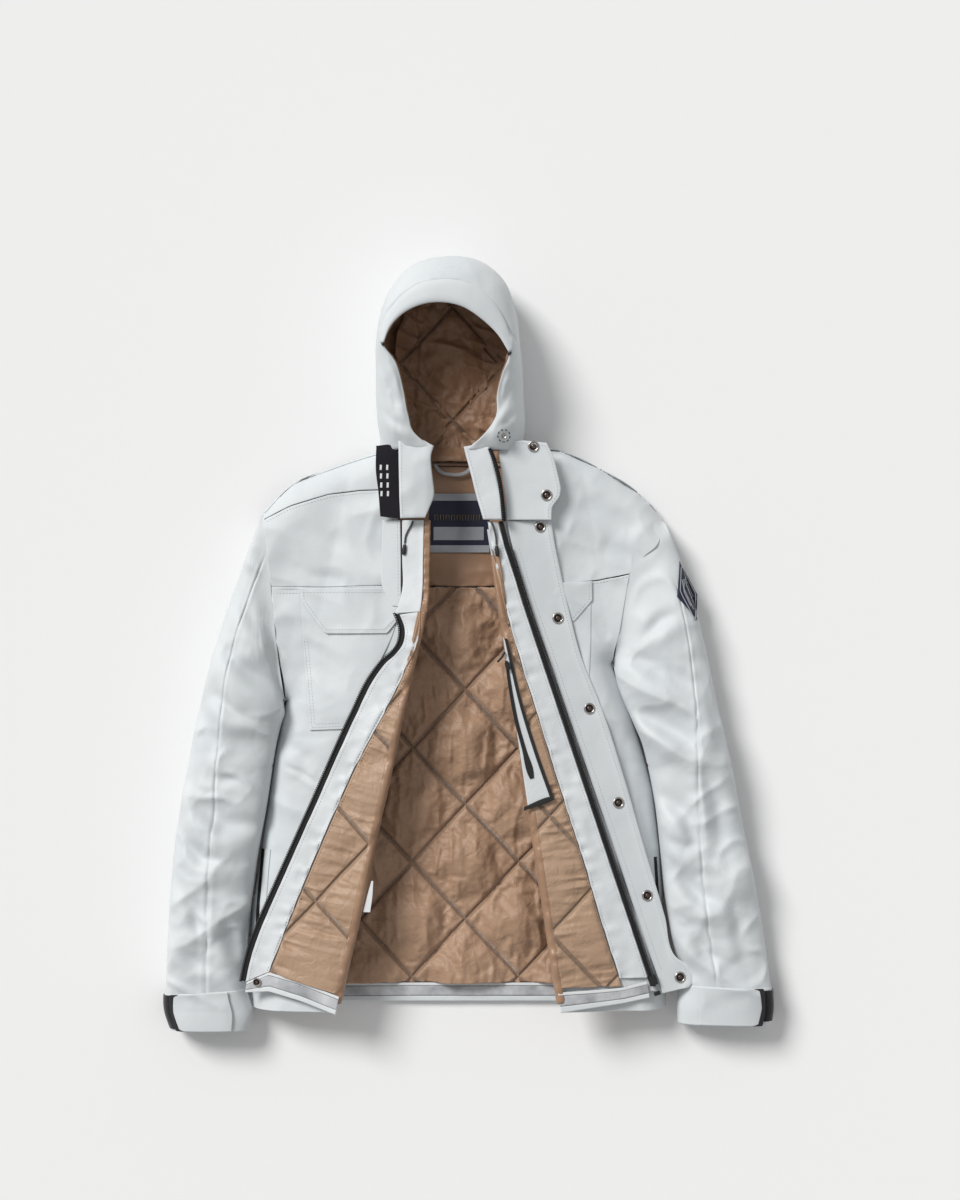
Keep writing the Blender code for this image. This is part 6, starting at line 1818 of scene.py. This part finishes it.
# black tips at the ends of the brim, eyelet with a dashed ring
for k, (row, o) in enumerate(((GB[0], 1), (GB[-1], -1))):
    a, b = row[0], row[len(row) // 2]
    tubes("hood_brim_tip_%d" % (k + 1), [np.array([a + (b - a) * q + np.array([0, -0.0012, -0.0006]) for q in np.linspace(-0.25, 0.9, 6)])], np.array([0.0008, 0.0018, 0.0023, 0.0023, 0.0018, 0.0009]), RUBBER, "hood", "zip_black", sides=10)
ring = []
for k in range(9):
    a0 = 2 * math.pi * k / 9
    ring.append(np.array([[float(X(503.5 + 6.0 * math.cos(a))), float(Y(438.5 + 6.0 * math.sin(a))), 0.0990] for a in np.linspace(a0, a0 + 0.42, 5)]))
tubes("hood_eyelet_marks", ring, 0.0007, RUBBER, "torso", "zip_black", sides=6)
turned("hood_eyelet", [(0.0012, -0.004), (0.0032, -0.004), (0.0034, 0.0004), (0.0028, 0.0011), (0.0020, 0.0008), (0.0013, -0.0006), (0.0012, -0.004)], (float(X(503.5)), float(Y(438.5)), 0.0985), (0, 0, 1), METAL, "torso", "snap_metal", 20)

# ------------------------------------------------------------- drawcords
def smooth_route(points, n):
    out, m = [], len(points) - 1
    for k in range(n + 1):
        s = m * k / n
        i = min(int(s), m - 1)
        t = s - i
        p = [np.array(points[max(0, min(m, i + j))], float) for j in (-1, 0, 1, 2)]
        out.append(0.5 * ((2 * p[1]) + (p[2] - p[0]) * t + (2 * p[0] - 5 * p[1] + 4 * p[2] - p[3]) * t * t + (-p[0] + 3 * p[1] - 3 * p[2] + p[3]) * t ** 3))
    return np.array(out)


def drawcord(side, pts, base, body, end_c, end_n):
    route = smooth_route([(float(X(u)), float(Y(v)), float(plane(side, u, v)) + base + h) for u, v, h in pts], 24)
    cu = bpy.data.curves.new(side + "_drawcord_line", "CURVE")
    cu.dimensions, cu.bevel_depth, cu.bevel_resolution, cu.use_fill_caps = "3D", 0.0013, 4, True
    sp = cu.splines.new("POLY")
    sp.points.add(len(route) - 1)
    for p, q in zip(sp.points, route):
        p.co = (*q, 1)
    cu.materials.append(CORDGREY)
    ob = bpy.data.objects.new(side + "_drawcord_line", cu)
    bpy.context.scene.collection.objects.link(ob)
    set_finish(ob, "cord_grey")
    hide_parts(side + "_drawcord")
    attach(ob, body)
    tip = turned(side + "_cord_end_moulded", [(0, 0), (0.0015, 0.0001), (0.0021, 0.0016), (0.0024, 0.004), (0.0029, 0.0070), (0.0030, 0.0105), (0.0026, 0.0128), (0.0016, 0.0138), (0, 0.0140)],
                 end_c, end_n, RUBBER, body, "cord_grey", 20)
    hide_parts(side + "_cord_end")


drawcord("right", [(413.5, 521.6, 0.0024), (411.8, 526, 0.0022), (408.6, 531.2, 0.0020), (406.2, 537, 0.0019), (405.4, 543.8, 0.0019)], 0.0050, "torso",
         (float(X(405.3)), float(Y(544.7)), float(plane("right", 405, 544)) + 0.0050 + 0.0040), (float(X(404.6) - X(405.3)), float(Y(552.3) - Y(544.7)), -0.0004))
drawcord("left", [(491.0, 522.4, 0.0022), (493.4, 528, 0.0020), (494.9, 533.4, 0.0019), (495.9, 539, 0.0019), (496.3, 545.2, 0.0019)], 0.0119, "left_front",
         (float(X(496.4)), float(Y(546.1)), float(plane("left", 496, 546)) + 0.0119 + 0.0042), (float(X(497.2) - X(496.4)), float(Y(553.8) - Y(546.1)), -0.0006))

# ------------------------------------------------ metalwork kept from CAD
for n in ("zip_slider", "zip_stop_box", "inner_pocket_slider"):
    o = frame["nodes"][n]
    o.data.materials.clear()
    o.data.materials.append(PLASTIC)

# ------------------------------------------------------------- stitching
SHADES = {"light": THREAD_LIGHT, "brown": THREAD_BROWN, "navy": THREAD_NAVY}
for (bodyname, shade), parts in STITCH.items():
    join_parts("stitching_%s_%s" % (bodyname, shade), parts, SHADES[shade], bodyname, "lining" if shade == "brown" else "shell")

# ---------------------------------------------------- a pass that measures the flat cloth pieces; its results are not used
def declare_all():
    pads = ("quilt", "fold_roll", "yoke_lining", "neck_lining")
    for o in list(bpy.context.scene.objects):
        if o.type != "MESH" or o.name in frame["nodes"] or "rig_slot" not in o:
            continue
        n = o.name
        if any(k in n for k in pads):
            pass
        elif n.endswith("_cloth") and "teeth" not in n:
            me = o.data
            area = sum(p.area for p in me.polygons) / 2
            co = np.zeros(len(me.vertices) * 3, np.float32)
            me.vertices.foreach_get("co", co)
            co = co.reshape(-1, 3)
            ext = co.max(0) - co.min(0)
            w, l = sorted((float(ext[0]), float(ext[1])))
            if "sleeve" in n or "band" in n or "hood" in n or w < 0.012 or l < 0.012:
                continue
            k = max(1.0, area / (w * l) * 1.001)
            l2 = l * k
            w2 = w
            if area < 0.3 * w2 * l2:
                w2 = area / (0.3 * l2) * 0.98
            if w2 < 0.0102:
                continue


declare_all()

# ------------------------------------------------------- floor, light, camera
fl = bpy.data.meshes.new("floor")
fl.from_pydata([(-8, -8, -0.0006), (8, -8, -0.0006), (8, 8, -0.0006), (-8, 8, -0.0006)], [], [(0, 1, 2, 3)])
floor = bpy.data.objects.new("floor", fl)
bpy.context.scene.collection.objects.link(floor)
mat, nt, bsdf = nodes_of("floor_paper")
tc = node(nt, "ShaderNodeTexCoord")
ns = node(nt, "ShaderNodeTexNoise", Scale=40.0, Detail=3.0)
link(nt, tc, "Object", ns, "Vector")
rmp = node(nt, "ShaderNodeValToRGB")
rmp.color_ramp.elements[0].color, rmp.color_ramp.elements[1].color = (0.885, 0.885, 0.885, 1), (0.89, 0.89, 0.89, 1)
link(nt, ns, "Fac", rmp, "Fac")
link(nt, rmp, "Color", bsdf, "Base Color")
bsdf.inputs["Roughness"].default_value = 0.9
bsdf.inputs["Specular IOR Level"].default_value = 0.1
fl.materials.append(mat)


def area_light(name, loc, target, size, power_, colour=(1, 1, 1)):
    d = bpy.data.lights.new(name, "AREA")
    d.shape, d.size, d.energy, d.color = "DISK", size, power_, colour
    o = bpy.data.objects.new(name, d)
    o.location = loc
    o.rotation_euler = (Vector(target) - Vector(loc)).to_track_quat("-Z", "Y").to_euler()
    bpy.context.scene.collection.objects.link(o)


sun = bpy.data.lights.new("key", "SUN")
sun.energy, sun.angle, sun.color = 2.62, math.radians(22), (1.0, 0.995, 0.985)
suno = bpy.data.objects.new("key", sun)
suno.rotation_euler = (Vector((0, 0, 0)) - Vector((-1.0, 1.05, 1.25))).to_track_quat("-Z", "Y").to_euler()
bpy.context.scene.collection.objects.link(suno)
world = bpy.data.worlds.new("studio")
bpy.context.scene.world = world
world.use_nodes = True
world.node_tree.nodes["Background"].inputs["Color"].default_value = (1.0, 1.0, 1.0, 1)
world.node_tree.nodes["Background"].inputs["Strength"].default_value = 0.42
cam = bpy.data.cameras.new("camera")
cam.sensor_fit, cam.sensor_height = "VERTICAL", 36.0
cam.lens = 36.0 * 3.0 / 1.584
camo = bpy.data.objects.new("camera", cam)
camo.location = (float(X(480)), float(Y(600)), 3.05)
bpy.context.scene.collection.objects.link(camo)
bpy.context.scene.camera = camo
bpy.context.scene.view_settings.view_transform = "Standard"
bpy.context.scene.view_settings.look = "None"

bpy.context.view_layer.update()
